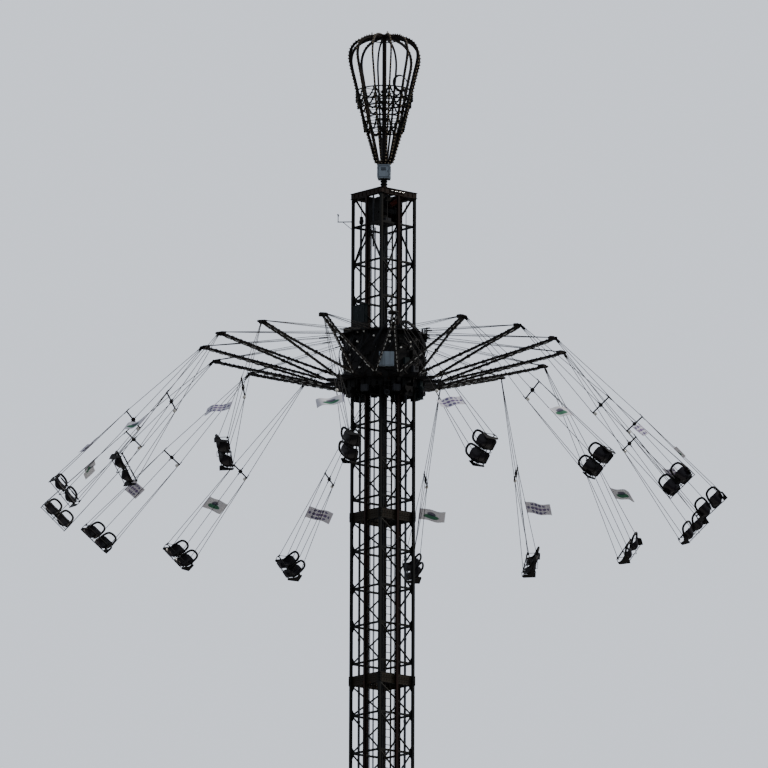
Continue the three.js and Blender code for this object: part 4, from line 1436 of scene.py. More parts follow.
# %% Sleeve, slewing flange and roller units
HUB_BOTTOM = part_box("hub_drum")[0].z
HUB_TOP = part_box("hub_platform")[1].z
DECK_TOP = HUB_TOP - 0.27
RING_HEIGHT = HUB_BOTTOM + 0.48
SLEEVE_BORE = 1.276
SLEEVE_RADIUS = 1.345
SLEWING_RADIUS = 1.372
ROLLER_RADIUS = 0.09
ROLLER_HALF = 0.042
ROLLER_PLACE = RAIL_INNER + RAIL_DEPTH + 0.0006 + ROLLER_RADIUS
UPPER_ROLLERS = DECK_TOP - 0.22
LOWER_ROLLERS = HUB_BOTTOM + 0.10
PLATFORM_END = -0.914


def roller_profile():
    """A roller with a hub, a web and a thick tyre, turned about its axle."""
    w, r = -ROLLER_HALF, ROLLER_RADIUS
    return mirrored([(0.0, w - 0.006), (0.028, w - 0.006), (0.03, w + 0.012), (r - 0.02, w + 0.012),
                     (r - 0.018, w), (r - 0.004, w), (r, w + 0.006)])


def roller_unit(piece, height, outline):
    """A roller on the south rail between two cheek plates, whose outline is outward and upward."""
    spin = Matrix.Translation((0, -ROLLER_PLACE, height)) @ Matrix.Rotation(pi / 2, 4, "Y")
    piece.lathe(roller_profile(), 24, spin)
    reach = ROLLER_HALF + 0.034
    piece.rod((-reach, -ROLLER_PLACE, height), EAST * 2 * reach, 0.019, 12)
    for x in (-0.062, 0.062):
        piece.plate(outline, 0.022, box_matrix(Vector((x, 0, height)), -NORTH, UP, EAST))


def lift_carriage():
    """The sleeve and its flange, eight roller units, and the platform with the box's plinth."""
    piece = Piece()
    near, far = ROLLER_PLACE - 0.045, SLEEVE_BORE + 0.02
    lift = RING_HEIGHT - LOWER_ROLLERS
    foot = [(near, -0.06), (near + 0.04, -0.09)]
    upper = foot + [(far, -0.16), (far, 0.12), (near + 0.03, 0.08), (near, 0.05)]
    lower = foot + [(near + 0.15, -0.09), (far + 0.04, lift), (far, lift + 0.12), (near, 0.12)]
    roller_unit(piece, UPPER_ROLLERS, upper)
    roller_unit(piece, LOWER_ROLLERS, lower)
    piece.box((-0.30, -far - 0.01, RING_HEIGHT - 0.03), (0.30, -SLEEVE_BORE + 0.07, RING_HEIGHT + 0.06))
    piece.copies_about_axis(4)
    foot, top = RING_HEIGHT, DECK_TOP - 0.01
    sleeve = [(SLEEVE_BORE, foot), (SLEEVE_RADIUS, foot), (SLEEVE_RADIUS, top), (SLEEVE_BORE, top)]
    flange = ring_profile(SLEEVE_BORE, SLEWING_RADIUS, RING_HEIGHT - 0.07, RING_HEIGHT - 0.004)
    for profile in (sleeve, flange):
        piece.lathe(profile, 64, closed=True)
    left, near, far = PLATFORM_END, BOX_LOW.y, BOX_HIGH.y
    sheet = (left, near, HUB_TOP - 0.04, HUB_TOP)
    plinth = (BOX_LOW.x, near, HUB_TOP, BOX_LOW.z - 0.0004)
    frame_under = (left + 0.01, near + 0.01, DECK_TOP + 0.03, HUB_TOP - 0.03)
    for x, y, low, high in (sheet, plinth, frame_under):
        piece.box((x, y, low), (BOX_HIGH.x, far, high))
    for x in (-0.36, 0.36):
        piece.bar((x, -1.05, DECK_TOP + 0.05), (x, -1.25, DECK_TOP - 0.14), 0.05, 0.06)
    return piece


def ring_profile(inner, outer, low, high, edge=0.006):
    return [(inner, low), (outer - edge, low), (outer, low + edge), (outer, high - edge),
            (outer - edge, high), (inner, high)]


dress("carriage_sleeve", lift_carriage(), "hub_paint", "carriage", ["lift_carriage"])

# %% Drum, platform and stay ring
ROTOR_TURN = radians(8)
ARM_COUNT = 16
ARM_PITCH = 2 * pi / ARM_COUNT
DRUM_BORE = 1.378
DRUM_RADIUS = 1.46
PLATFORM_RADIUS = 1.57
PLATFORM_UNDER = DECK_TOP - 0.06
STAY_RING_RADIUS = 1.61
STAY_RING_TOP = HUB_TOP - 0.29
STAY_RING_UNDER = HUB_TOP - 0.35
NODE_HEIGHT = HUB_BOTTOM + 0.58
HOOPS = ((0.48, 0.68), (1.14, 1.20), (1.66, 1.72), (2.00, 2.07), (2.19, 2.259))
HUNG_FROM = HUB_BOTTOM + HOOPS[0][0] + 0.02
HUNG_INNER = 1.385
HOOP_PROUD = 0.016


def drum_profile():
    """The drum's wall as a closed outline: up the outside, over the hoops, and down the bore."""
    wall = DRUM_RADIUS - HOOP_PROUD
    profile = [(DRUM_BORE, HUB_BOTTOM + HOOPS[0][0])]
    for low, high in HOOPS:
        low, high = HUB_BOTTOM + low, HUB_BOTTOM + high
        profile += [(wall, low), (DRUM_RADIUS, low + 0.004), (DRUM_RADIUS, high - 0.004), (wall, high)]
    profile.append((DRUM_BORE, profile[-1][1]))
    return profile


def upright_box(piece, azimuth, radius, across, deep, low, high):
    """A box on the drum at an azimuth: its outer face is at radius."""
    turn = Matrix.Rotation(azimuth, 4, "Z")
    return piece.box((-across / 2, -radius, low), (across / 2, -radius + deep, high), turn)


def on_drum(azimuth, height, proud=0.0):
    return at(azimuth, DRUM_RADIUS + proud, HUB_BOTTOM + height)


def hub_drum():
    """The drum's wall with posts between its hoops, and the stay ring with pairs of ribs."""
    piece = Piece()
    stay_ring = ring_profile(DRUM_BORE, STAY_RING_RADIUS, STAY_RING_UNDER, STAY_RING_TOP)
    for profile in (drum_profile(), stay_ring):
        piece.lathe(profile, 64, closed=True)
    for k in range(ARM_COUNT):
        azimuth = ROTOR_TURN + ARM_PITCH * (k + 0.5)
        for (_, low), (high, _) in zip(HOOPS, HOOPS[1:]):
            low, high = HUB_BOTTOM + low, HUB_BOTTOM + high
            upright_box(piece, azimuth, DRUM_RADIUS - 0.004, 0.03, 0.03, low, high)
        for side in (-1, 1):
            rib = ROTOR_TURN + ARM_PITCH * k + side * radians(2.2)
            foot = STAY_RING_UNDER - 0.12
            upright_box(piece, rib, STAY_RING_RADIUS - 0.02, 0.014, 0.16, foot, STAY_RING_UNDER)
    return piece


DECK_BRACKETS = (
    # azimuth in degrees, reach from the axis, rise above the deck
    (112, 1.68, 0.13), (121, 1.70, 0.19), (131, 1.72, 0.27), (142, 1.72, 0.25), (155, 1.68, 0.16),
)


def hub_platform():
    """The deck: a ring with a deeper rim, ribs under it, and brackets that stand on its edge."""
    piece = Piece()
    under, edge = PLATFORM_UNDER, PLATFORM_RADIUS
    for inner, low in ((DRUM_BORE + 0.004, under + 0.03), (edge - 0.03, under)):
        piece.lathe(ring_profile(inner, edge, low, DECK_TOP), 64, closed=True)
    for k in range(2 * ARM_COUNT):
        azimuth = ROTOR_TURN + ARM_PITCH / 2 * (k + 0.5)
        upright_box(piece, azimuth, edge - 0.02, 0.012, edge - DRUM_BORE - 0.03, under, DECK_TOP - 0.01)
    for degrees, out, rise in DECK_BRACKETS:
        azimuth, top = radians(degrees), DECK_TOP + rise
        upright_box(piece, azimuth, edge + 0.035, 0.06, 0.035, under, top)
        upright_box(piece, azimuth, out, 0.05, out - edge - 0.02, top - 0.04, top)
        low, high = DECK_TOP - 0.02, DECK_TOP + 0.01
        upright_box(piece, azimuth + 0.02, out - 0.03, 0.03, out - edge - 0.03, low, high)
    return piece


dress("hub_drum_wall", hub_drum(), "hub_paint", "rotor", ["hub_drum"])
dress("hub_deck", hub_platform(), "hub_paint", "rotor", ["hub_platform"])

# %% [markdown]
# Small fittings sit on the drum: a service cabinet, junction boxes, conduits, hoses and lamps, and
# thick supply cables bend over its deck. Brake units, boxes and a slew motor hang below its rim on
# posts, so the sky shows between them.


# %% Boxes on the hub
def turned_box(name, degrees, radius, across, deep, low, high, paint, replaced=()):
    """A bevelled box on the drum, first made at azimuth 0 and then turned to its place."""
    near = (-across / 2, -radius, HUB_BOTTOM + low)
    far = (across / 2, -radius + deep, HUB_BOTTOM + high)
    made = bevelled_box(name, near, far, paint, "rotor", replaced)
    made.data.transform(Matrix.Rotation(radians(degrees), 4, "Z"))


for row in (
    # name, azimuth, outer radius, width, depth, foot and top above the hub's bottom, finish
    ("service_cabinet", 54, 1.60, 0.54, 0.17, 0.88, 1.42, "cabinet_paint", ["hub_cabinet"]),
    ("service_cabinet_door", 54, 1.61, 0.46, 0.03, 0.92, 1.38, "cabinet_paint"),
    ("junction_box_side", 98.4, 1.58, 0.30, 0.14, 0.75, 1.00, "box_grey"),
    ("control_box", 83, 1.58, 0.22, 0.13, 0.96, 1.26, "teal_paint"),
    ("junction_box_1", 22.9, 1.55, 0.28, 0.14, 0.01, 0.25, "box_grey"),
    ("junction_box_2", 68.5, 1.55, 0.28, 0.14, 0.01, 0.25, "box_grey"),
):
    turned_box(*row)


# %% Machinery under the hub, braces, equipment and hoses
def hung_frame(piece, azimuth, across, foot):
    """Two posts and a bottom bar that hang a unit below the drum's lowest hoop."""
    for side in (-1, 1):
        post = azimuth + side * across / 2 / DRUM_RADIUS
        upright_box(piece, post, DRUM_RADIUS - 0.02, 0.03, 0.03, foot, HUNG_FROM)
    upright_box(piece, azimuth, DRUM_RADIUS - 0.018, across + 0.03, 0.034, foot, foot + 0.03)


def hub_machinery():
    """Units under the hub: brakes with two caps each, and smaller housings between them."""
    shuffle = random.Random(23)
    piece = Piece()
    for degrees in (22.9, 68.5):
        hung_frame(piece, radians(degrees), 0.30, HUB_BOTTOM - 0.01)
    for k in range(4):
        azimuth = radians(-3.7 + 90 * k)
        foot = HUB_BOTTOM - 0.12 if k < 2 else HUB_BOTTOM + 0.10
        hung_frame(piece, azimuth, 0.40, foot)
        upright_box(piece, azimuth, DRUM_RADIUS + 0.10, 0.34, 0.15, foot, foot + 0.34)
        for side in (-0.1, 0.1):
            cap = at(azimuth, DRUM_RADIUS + 0.09, foot + 0.17) + ahead_of(azimuth) * side
            piece.rod(cap, heading(azimuth) * 0.06, 0.06, 16)
    for k in range(40):
        azimuth = 2 * pi * (k + shuffle.uniform(-0.2, 0.2)) / 40
        across, drop = shuffle.uniform(0.10, 0.24), shuffle.uniform(0.12, 0.36)
        deep = shuffle.uniform(0.06, 0.16)
        out = DRUM_RADIUS + shuffle.uniform(-0.05, 0.07)
        deep = min(deep, out - HUNG_INNER)
        foot = HUNG_FROM - drop
        upright_box(piece, azimuth, out, across, deep, foot, HUNG_FROM)
        if shuffle.random() < 0.5:
            ends = (foot - shuffle.uniform(0.03, 0.09), foot + 0.01)
            piece.tube([at(azimuth, out - deep / 2, end) for end in ends], 0.026, 10)
    for degrees in (128.5, 132.5):
        azimuth = radians(degrees)
        piece.tube([on_drum(azimuth, height, 0.045) for height in (0.86, 1.80)], 0.022, 10)
        for low in (HUB_BOTTOM + 1.17, HUB_BOTTOM + 1.69):
            upright_box(piece, azimuth, DRUM_RADIUS + 0.06, 0.07, 0.06, low, low + 0.03)
    return piece


BRACE_TIERS = ((0.68, 1.14), (1.20, 1.66), (1.72, 2.02))


def drum_frame():
    """Flat bars that brace the drum's wall between its hoops, crossed in every other bay."""
    piece = Piece()
    for k in range(ARM_COUNT):
        left = ROTOR_TURN + ARM_PITCH * (k - 0.46)
        right = ROTOR_TURN + ARM_PITCH * (k + 0.46)
        for tier, (low, high) in enumerate(BRACE_TIERS):
            out = heading(ROTOR_TURN + ARM_PITCH * k)
            piece.bar(on_drum(left, low), on_drum(right, high), 0.05, 0.03, out)
            if (k + tier) % 2:
                piece.bar(on_drum(left, high), on_drum(right, low), 0.05, 0.022, out)
    return piece


def drum_equipment():
    """Boxes between the braces, each with its own size, two knobs and a pipe below it."""
    shuffle = random.Random(7)
    piece = Piece()
    for k in range(ARM_COUNT):
        for low, high in BRACE_TIERS:
            if shuffle.random() < 0.35:
                continue
            azimuth = ROTOR_TURN + ARM_PITCH * (k + shuffle.uniform(-0.25, 0.25))
            tall = min(high - low - 0.06, shuffle.uniform(0.12, 0.34))
            foot = shuffle.uniform(low + 0.02, high - 0.03 - tall)
            across, deep = shuffle.uniform(0.10, 0.30), shuffle.uniform(0.06, 0.13)
            floor = HUB_BOTTOM + foot
            upright_box(piece, azimuth, DRUM_RADIUS + deep, across, deep + 0.01, floor, floor + tall)
            for step in (-1, 1):
                knob = azimuth + step * across / 5 / DRUM_RADIUS
                ends = [on_drum(knob, foot + tall / 2, deep + out) for out in (-0.01, 0.03)]
                piece.tube(ends, 0.022, 8)
            piece.tube([on_drum(azimuth, height, deep / 2) for height in (foot, low - 0.08)], 0.016, 6)
    return piece


def drum_hoses():
    """Hydraulic hoses and power cables that loop from box to box and up to the platform."""
    shuffle = random.Random(19)
    piece = Piece()
    for k in range(22):
        start = 2 * pi * k / 22 + shuffle.uniform(-0.08, 0.08)
        swing = shuffle.uniform(0.10, 0.34) * shuffle.choice((-1, 1))
        high = shuffle.uniform(1.9, 2.24)
        low = shuffle.uniform(0.72, 1.5)
        path = []
        for step in range(11):
            share = step / 10
            azimuth = start + swing * (share - 0.25 * sin(pi * share))
            height = high + (low - high) * share ** 1.4
            path.append(on_drum(azimuth, height, 0.035 + 0.11 * sin(pi * share)))
        piece.tube(path, 0.017, 6)
    return piece


CABLE_KNOTS = (
    (71, 1.50, -0.03), (73, 1.60, 0.12), (79, 1.615, 0.26), (86, 1.63, 0.17), (96.7, 1.65, -0.01),
    (104, 1.65, -0.22), (111, 1.64, -0.45), (117, 1.60, -0.75), (119, 1.48, -0.95),
)
HOSE_KNOTS = (
    (60, 1.50, -0.03), (58.5, 1.615, 0.14), (56, 1.63, 0.24), (51, 1.65, 0.05), (44, 1.65, -0.28),
    (38.4, 1.62, -0.58), (36, 1.48, -0.78),
)


def cable_tube(piece, knots, thick):
    """A cable through knots of azimuth, radius and height above the deck."""
    path = [at(radians(degrees), radius, DECK_TOP + height)
            for degrees, radius, height in smooth_curve(knots, 3)]
    piece.tube(path, thick, 10)


def cable_festoon():
    """Thick supply cables that rise from the deck, bend over its rim and run down the drum's side."""
    piece = Piece()
    for spread in (-2.2, 0.0, 2.2):
        knots = [(azimuth + spread, radius, height) for azimuth, radius, height in CABLE_KNOTS]
        cable_tube(piece, knots, 0.034)
    cable_tube(piece, HOSE_KNOTS, 0.045)
    return piece


def slew_motor():
    """A finned motor that hangs from a bracket beside the drum."""
    piece = Piece()
    azimuth = radians(111)
    foot = HUB_BOTTOM - 0.14
    profile = [(0.0, 0.0), (0.09, 0.0), (0.09, 0.05), (0.105, 0.06)]
    for low in (0.08 + 0.034 * fin for fin in range(8)):
        profile += [(0.095, low), (0.11, low + 0.006), (0.11, low + 0.018), (0.095, low + 0.024)]
    profile += [(0.105, 0.37), (0.10, 0.43), (0.0, 0.44)]
    piece.lathe(profile, 24, Matrix.Translation(at(azimuth, 1.55, foot)))
    upright_box(piece, azimuth, 1.60, 0.24, 0.20, foot - 0.03, foot + 0.01)
    upright_box(piece, azimuth, 1.58, 0.20, 0.18, foot + 0.42, HUNG_FROM + 0.02)
    hung_frame(piece, azimuth, 0.22, foot - 0.03)
    return piece


dress("hub_machinery", hub_machinery(), "housing_paint", "rotor", slot="hub_paint")
dress("drum_frame", drum_frame(), "hub_paint", "rotor")
dress("drum_equipment", drum_equipment(), "housing_paint", "rotor", slot="hub_paint")
dress("drum_hoses", drum_hoses(), "pipe_dark", "rotor", slot="hub_paint")
dress("supply_cable", cable_festoon(), "pipe_dark", "rotor", slot="hub_paint")
dress("slew_motor", slew_motor(), "teal_paint", "rotor")


def hub_bolt_spots():
    spots = []
    for k in range(ARM_COUNT * 3):
        azimuth = ROTOR_TURN + ARM_PITCH / 3 * (k + 0.5)
        spots += [(on_drum(azimuth, height, BOLT_HEIGHT / 2), heading(azimuth))
                  for height in (0.52, 1.17, 1.69, 2.06)]
    return spots


dress("hub_bolts", studs(hub_bolt_spots(), BOLT_RADIUS, BOLT_HEIGHT, "ladder_paint"), "ladder_paint",
      "rotor", slot="hub_paint")

# %% Lamps on the hub
NEAR_LAMPS = (
    (10.5, 2.22), (21.4, 2.22), (36.1, 2.03), (10.5, 1.87), (36.7, 1.64), (58.7, 2.03), (58.7, 1.81),
    (90.4, 1.86), (90.4, 1.70), (75.0, 1.62), (27.0, 0.98), (103.0, 0.56),
)


def hub_lamp_spots():
    """Round lamp caps here and there on the drum, as a fairground electrician would hang them."""
    shuffle = random.Random(41)
    places = [(radians(degrees), height) for degrees, height in NEAR_LAMPS]
    for k in range(18):
        azimuth = radians(130) + 2 * pi * (k + shuffle.uniform(0.2, 0.8)) / 26
        places.append((azimuth, shuffle.choice((0.56, 0.90, 1.43, 1.62, 1.86, 2.03, 2.22))))
    return [(on_drum(azimuth, height, 0.02), heading(azimuth)) for azimuth, height in places]


dress("hub_lamp_caps", studs(hub_lamp_spots(), 0.036, 0.06, "lamp_glass", 12), "lamp_glass", "rotor")


def round_lamps():
    """Two ring-shaped lamps low on the hub: each is a pale ring round a dark middle."""
    ring, middle = Piece(), Piece()
    for degrees, out, height in ((54.8, DRUM_RADIUS + 0.03, -0.06), (111.0, 1.67, 0.02)):
        azimuth = radians(degrees)
        turn = box_matrix(at(azimuth, out, HUB_BOTTOM + height), ahead_of(azimuth), UP, heading(azimuth))
        rim = [(0.055, 0.0), (0.095, 0.0), (0.10, 0.02), (0.075, 0.045), (0.055, 0.02)]
        ring.lathe(rim, 24, turn, closed=True)
        middle.lathe([(0.0, -0.06), (0.085, -0.06), (0.085, 0.0), (0.05, 0.012), (0.0, 0.012)], 20, turn)
    hung_frame(middle, radians(54.8), 0.14, HUB_BOTTOM - 0.13)
    return ring, middle


lamp_ring, lamp_middle = round_lamps()
dress("hub_round_lamps", lamp_ring, "box_grey", "rotor", slot="lamp_glass")
dress("hub_lamp_cups", lamp_middle, "housing_paint", "rotor", slot="hub_paint")

# %% [markdown]
# ## The arms
#
# One arm is made at azimuth 0: two chords that start from neighbouring nodes and join into a neck,
# a lug of two plates at the root, a block and a fork at the tip, and a stay rod above. The fourth
# node tree copies it sixteen times. The tip is turned ahead of the arm, the way the ropes trail.

# %% Driving sizes of an arm
TIP_RADIUS = 6.56
TIP_HEIGHT = CROWN_TOP - 5.82
LEAD = radians(29.7)
NODE_RADIUS = 2.10
CHORD_SIZE = 0.078
JOIN_RADIUS = 5.40
NECK_WIDTH = 0.21
BLOCK_NEAR = 0.06
BLOCK_FAR = 0.25
BLOCK_WIDTH = 0.25
PIN_RADIUS = 0.024
ARM_END = TIP_RADIUS - (BLOCK_NEAR + BLOCK_FAR) / 2
SECTOR_HALF = ARM_PITCH / 2 - 0.0003


def on_arm(radius, ahead=0.0, rise=0.0):
    """A point on the arm's own line, which climbs a little from the nodes to the tip."""
    share = (radius - NODE_RADIUS) / (ARM_END - NODE_RADIUS)
    height = NODE_HEIGHT + (TIP_HEIGHT - 0.04 - NODE_HEIGHT) * share + rise
    return Vector((ahead, -radius, height))


def node_point(side):
    return at(side * ARM_PITCH / 2, NODE_RADIUS, NODE_HEIGHT)


def chord_path(side):
    half = (NECK_WIDTH - CHORD_SIZE) / 2
    return [node_point(side), on_arm(JOIN_RADIUS, side * half), on_arm(ARM_END, side * half)]


print("arm from its nodes to its block, in metres:", round(ARM_END - NODE_RADIUS, 2))

# %% Chords, lug and neck of one arm
def root_lug(piece):
    """Plates over and under the nodes: strips run from the drum to each node, with an end plate."""
    for side in (-1, 1):
        edge = side * SECTOR_HALF
        near, along = DRUM_RADIUS + 0.002, side * ahead_of(edge)
        corner = heading(edge) * NODE_RADIUS
        inside = heading(side * radians(3.5)) * near
        outline = [heading(edge) * near, corner, corner - along * 0.075, inside]
        flat = [(p.x, p.y) for p in (outline if side > 0 else outline[::-1])]
        for height in (NODE_HEIGHT - 0.047, NODE_HEIGHT + 0.047):
            piece.plate(flat, 0.016, Matrix.Translation((0, 0, height)))
        rise = UP * NODE_HEIGHT
        piece.bar(inside + rise, corner - along * 0.05 + rise, 0.014, 0.10, edge=0.0)
    piece.box((-0.12, -1.50, NODE_HEIGHT - 0.04), (0.12, -DRUM_RADIUS - 0.002, NODE_HEIGHT + 0.04))


def neck(piece):
    """Plates over and under the join, and collars that hold the two chords side by side."""
    for rise in (-0.042, 0.042):
        start, end = on_arm(JOIN_RADIUS - 0.20, 0, rise), on_arm(JOIN_RADIUS + 0.16, 0, rise)
        piece.bar(start, end, NECK_WIDTH, 0.008, edge=0.0)
    for radius in (JOIN_RADIUS, 5.72, 6.04):
        start, end = on_arm(radius - 0.03), on_arm(radius + 0.03)
        piece.bar(start, end, NECK_WIDTH + 0.016, CHORD_SIZE + 0.02, edge=0.0)


def chord(piece, side):
    """A square tube with a bolted joint near the root, and its straight run beside its twin."""
    outline = square_outline(CHORD_SIZE, CHORD_SIZE, 0.012)
    start, bend, end = chord_path(side)
    piece.section(outline, start, bend)
    piece.section(outline, bend, end)
    along = (bend - start).normalized()
    for distance in (0.42, 0.445, 1.9, 1.925):
        spot = start + along * distance
        piece.section(square_outline(0.13, 0.13, 0.02), spot - along * 0.009, spot + along * 0.009)


def tip_block(piece):
    """The block and its fork, along the swing's plane, with the pin and its two nuts."""
    frame_turn = Matrix.Translation((0, -TIP_RADIUS, TIP_HEIGHT)) @ Matrix.Rotation(LEAD, 4, "Z")
    part = Piece()
    half = BLOCK_WIDTH / 2
    part.section(square_outline(BLOCK_WIDTH, 0.12, 0.015), (0, BLOCK_NEAR, 0), (0, BLOCK_FAR, 0))
    corner = Vector((half - 0.02, BLOCK_FAR - 0.02, 0.006))
    for rise in (-UP * 0.062, UP * 0.062):
        part.box(rise + Vector((-corner.x, BLOCK_NEAR + 0.02, -corner.z)), rise + corner)
    nose = [(-0.04 * cos(t), 0.04 * sin(t)) for t in (pi / 8 * k for k in range(-4, 5))]
    cheek = [(BLOCK_NEAR + 0.01, -0.04)] + nose + [(BLOCK_NEAR + 0.01, 0.04)]
    for side in (-1, 1):
        place = box_matrix(EAST * side * (half - 0.013), NORTH, UP, EAST)
        part.plate(cheek, 0.026, place)
        part.rod(EAST * side * (half - 0.002), EAST * side * 0.032, 0.036, 6)
    part.rod((-half - 0.04, 0, 0), EAST * 2 * (half + 0.04), PIN_RADIUS, 16)
    piece.add(part.points, part.faces, frame_turn)


def stay(piece):
    """The rod that holds the arm up, with a turnbuckle near the hub, and four thin guy wires."""
    high = Vector((0, -STAY_RING_RADIUS + 0.012, (STAY_RING_TOP + STAY_RING_UNDER) / 2))
    low = Vector((0, -ARM_END, TIP_HEIGHT + 0.048))
    along = (low - high).normalized()
    piece.tube([high, low], 0.012, 8)
    piece.tube([high + along * 0.42, high + along * 0.74], 0.024, 10)
    for start in (high, low - along * 0.12):
        piece.bar(start, start + along * 0.12, 0.045, 0.05, edge=0.2)
    for side in (-1, 1):
        ring_point = at(side * ARM_PITCH / 2 * 0.98, STAY_RING_RADIUS - 0.01, STAY_RING_TOP)
        piece.tube([ring_point, low + Vector((side * 0.05, 0.03, 0))], 0.0065, 6)
        deck_point = at(side * ARM_PITCH / 4, PLATFORM_RADIUS - 0.02, DECK_TOP)
        piece.tube([deck_point, low + Vector((side * 0.03, 0.06, 0.0))], 0.005, 6)


def all_round(made, paint):
    """One arm's piece or mesh, copied to all sixteen arms."""
    return round_axis(made, ARM_COUNT, ROTOR_TURN, paint)


arm, lug = Piece(), Piece()
neck(arm)
chord(arm, -1)
chord(arm, 1)
tip_block(arm)
stay(arm)
root_lug(lug)
arm_nodes = [f"arm_{k + 1:02d}" for k in range(ARM_COUNT)]
dress("arms", all_round(arm, "arm_paint"), "arm_paint", "rotor", arm_nodes)
dress("arm_lugs", all_round(lug, "hub_paint"), "hub_paint", "rotor")


# %% Light tubes, lamp holders and bolts on the chords
def beside_chords(share, shifts):
    """Lines beside both chords, from a share of the way along, each at a shift outwards and up."""
    lines = []
    for side in (-1, 1):
        start, bend, end = chord_path(side)
        for out, rise in shifts:
            shift = Vector((side * out, 0, rise))
            lines.append([start + (bend - start) * share + shift, bend + shift, end + shift])
    return lines


def arm_bolt_spots():
    spots = []
    for side in (-1, 1):
        start, bend, end = chord_path(side)
        along = (bend - start).normalized()
        across, upward = frame_along(bend - start)
        for distance, way in ((0.405, -along), (0.46, along), (1.885, -along), (1.94, along)):
            spots += [(start + along * distance + across * x + upward * z, way)
                      for x in (-0.052, 0.052) for z in (-0.052, 0.052)]
    return spots


SKIN = CHORD_SIZE / 2
# the tubes' pale finish is partly a painted glow
tubes = light_tubes(beside_chords(0.02, [(0, -SKIN - 0.016)]), 0.34, 0.165, 0.0145)
dress("arm_bulbs", all_round(tubes, "tube_glass"), "tube_glass", "rotor")
holders = beads(beside_chords(0.10, [(0, SKIN + 0.008), (SKIN + 0.008, 0)]), 0.17, 0.026, "arm_paint")
dress("arm_lamp_holders", all_round(holders, "arm_paint"), "arm_paint", "rotor")
bolts = studs(arm_bolt_spots(), 0.009, 0.014, "ladder_paint")
dress("arm_bolts", all_round(bolts, "ladder_paint"), "ladder_paint", "rotor", slot="arm_paint")

# %% [markdown]
# ## The swings
#
# Each double seat hangs from an eye on its arm's pin: three ropes run down to a spreader bar, and
# five more run on to the seat's side frames. All of it is drawn hanging straight down, with +X in
# the swing's plane and +Y the way the seats face, and one matrix per swing flies it out.

# %% Driving sizes of a swing
FLY = radians(43.9)
ROPE_LENGTH = 8.23
SEAT_SURFACE = -ROPE_LENGTH - 0.14
SPREADER_DROP = 4.19
SPREADER_HALF = 0.41
ROPE_ENDS = 0.398
HANGER_LENGTH = 0.20
HANGER_HALF = 0.055
SEAT_SIDE = 0.60
SEAT_ROPE_REACH = 0.17
SEAT_MIDDLES = (-0.295, 0.295)
LAP_HEIGHT = 0.22
SWINGS = [f"swing_{k + 1:02d}" for k in range(ARM_COUNT)]


def swing_place(index):
    azimuth = ROTOR_TURN + ARM_PITCH * index
    outwards = Matrix.Rotation(azimuth + LEAD - pi / 2, 4, "Z")
    tip = Matrix.Translation(at(azimuth, TIP_RADIUS, TIP_HEIGHT))
    return tip @ outwards @ Matrix.Rotation(-FLY, 4, "Y")


def rope_lines():
    """The ropes of one swing, as pairs of ends."""
    lines = []
    for side in (-1, 0, 1):
        spreader_end = (side * ROPE_ENDS, 0, -SPREADER_DROP)
        lines.append([(side * (HANGER_HALF - 0.024), 0, -HANGER_LENGTH + 0.04), spreader_end])
        for reach in ((0,) if side == 0 else (-SEAT_ROPE_REACH, SEAT_ROPE_REACH)):
            lines.append([spreader_end, (side * SEAT_SIDE, reach, SEAT_SURFACE + LAP_HEIGHT)])
    return [[Vector(a), Vector(b)] for a, b in lines]


print("ropes of a swing, in metres:", [round((b - a).length, 2) for a, b in rope_lines()])

def swing_head(piece):
    """The eye on the pin, its bushes, and the hanger plate with a socket for each rope."""
    bore = PIN_RADIUS + 0.002
    ring = mirrored([(bore, -0.11), (0.05, -0.11), (0.05, -0.085), (0.046, -0.08)])
    piece.lathe(ring, 24, LYING, closed=True)
    half, foot = HANGER_HALF, -HANGER_LENGTH
    shoulder = [(-0.040, -0.036), (-half, -0.12), (-half, foot + 0.02), (-half + 0.02, foot)]
    outline = shoulder + [(-x, z) for x, z in reversed(shoulder)]
    piece.plate(outline, 0.022, box_matrix(Vector(), EAST, UP, -NORTH))
    for side in (-1, 0, 1):
        x = side * (half - 0.024)
        piece.tube([(x, -0.022, foot + 0.05), (x, 0.022, foot + 0.05)], 0.012, 10)
        piece.tube([(x, 0, foot + 0.03), (x * 1.6, 0, foot - 0.07)], 0.015, 8)


def spreader(piece):
    """The bar that spreads the ropes, with its end collars, and a block in its middle."""
    half, height = SPREADER_HALF - 0.006, -SPREADER_DROP
    piece.tube([(-half, 0, height), (half, 0, height)], 0.027, 16)
    for x in (-ROPE_ENDS, ROPE_ENDS):
        piece.tube([(x - 0.02, 0, height), (x + 0.012, 0, height)], 0.035, 16)
        piece.tube([(x, 0, height + 0.14), (x, 0, height - 0.14)], 0.019, 10)
    block = square_outline(0.13, 0.09, 0.018)
    piece.section(block, (0, 0, height - 0.055), (0, 0, height + 0.055), NORTH)
    piece.tube([(0, 0, height + 0.16), (0, 0, height - 0.16)], 0.021, 10)


FRAME_FOOT, FRAME_BACK = ((-0.26, -0.04), (0.20, -0.04), (0.235, 0.0)), ((-0.28, 0.25), (-0.30, 0.22))
SIDE_FRAME = (*FRAME_FOOT, (0.235, 0.19), (0.18, 0.25), *FRAME_BACK)
SIDE_SHEET = (*FRAME_FOOT, (0.225, 0.06), (-0.05, 0.12), (-0.20, 0.24), *FRAME_BACK)
HOOP_KNOTS = ((0.240, 0.02, 0.08), (0.245, -0.09, 0.18), (0.245, -0.17, 0.31), (0.232, -0.245, 0.45),
              (0.190, -0.305, 0.565), (0.10, -0.335, 0.618), (0.0, -0.342, 0.630))


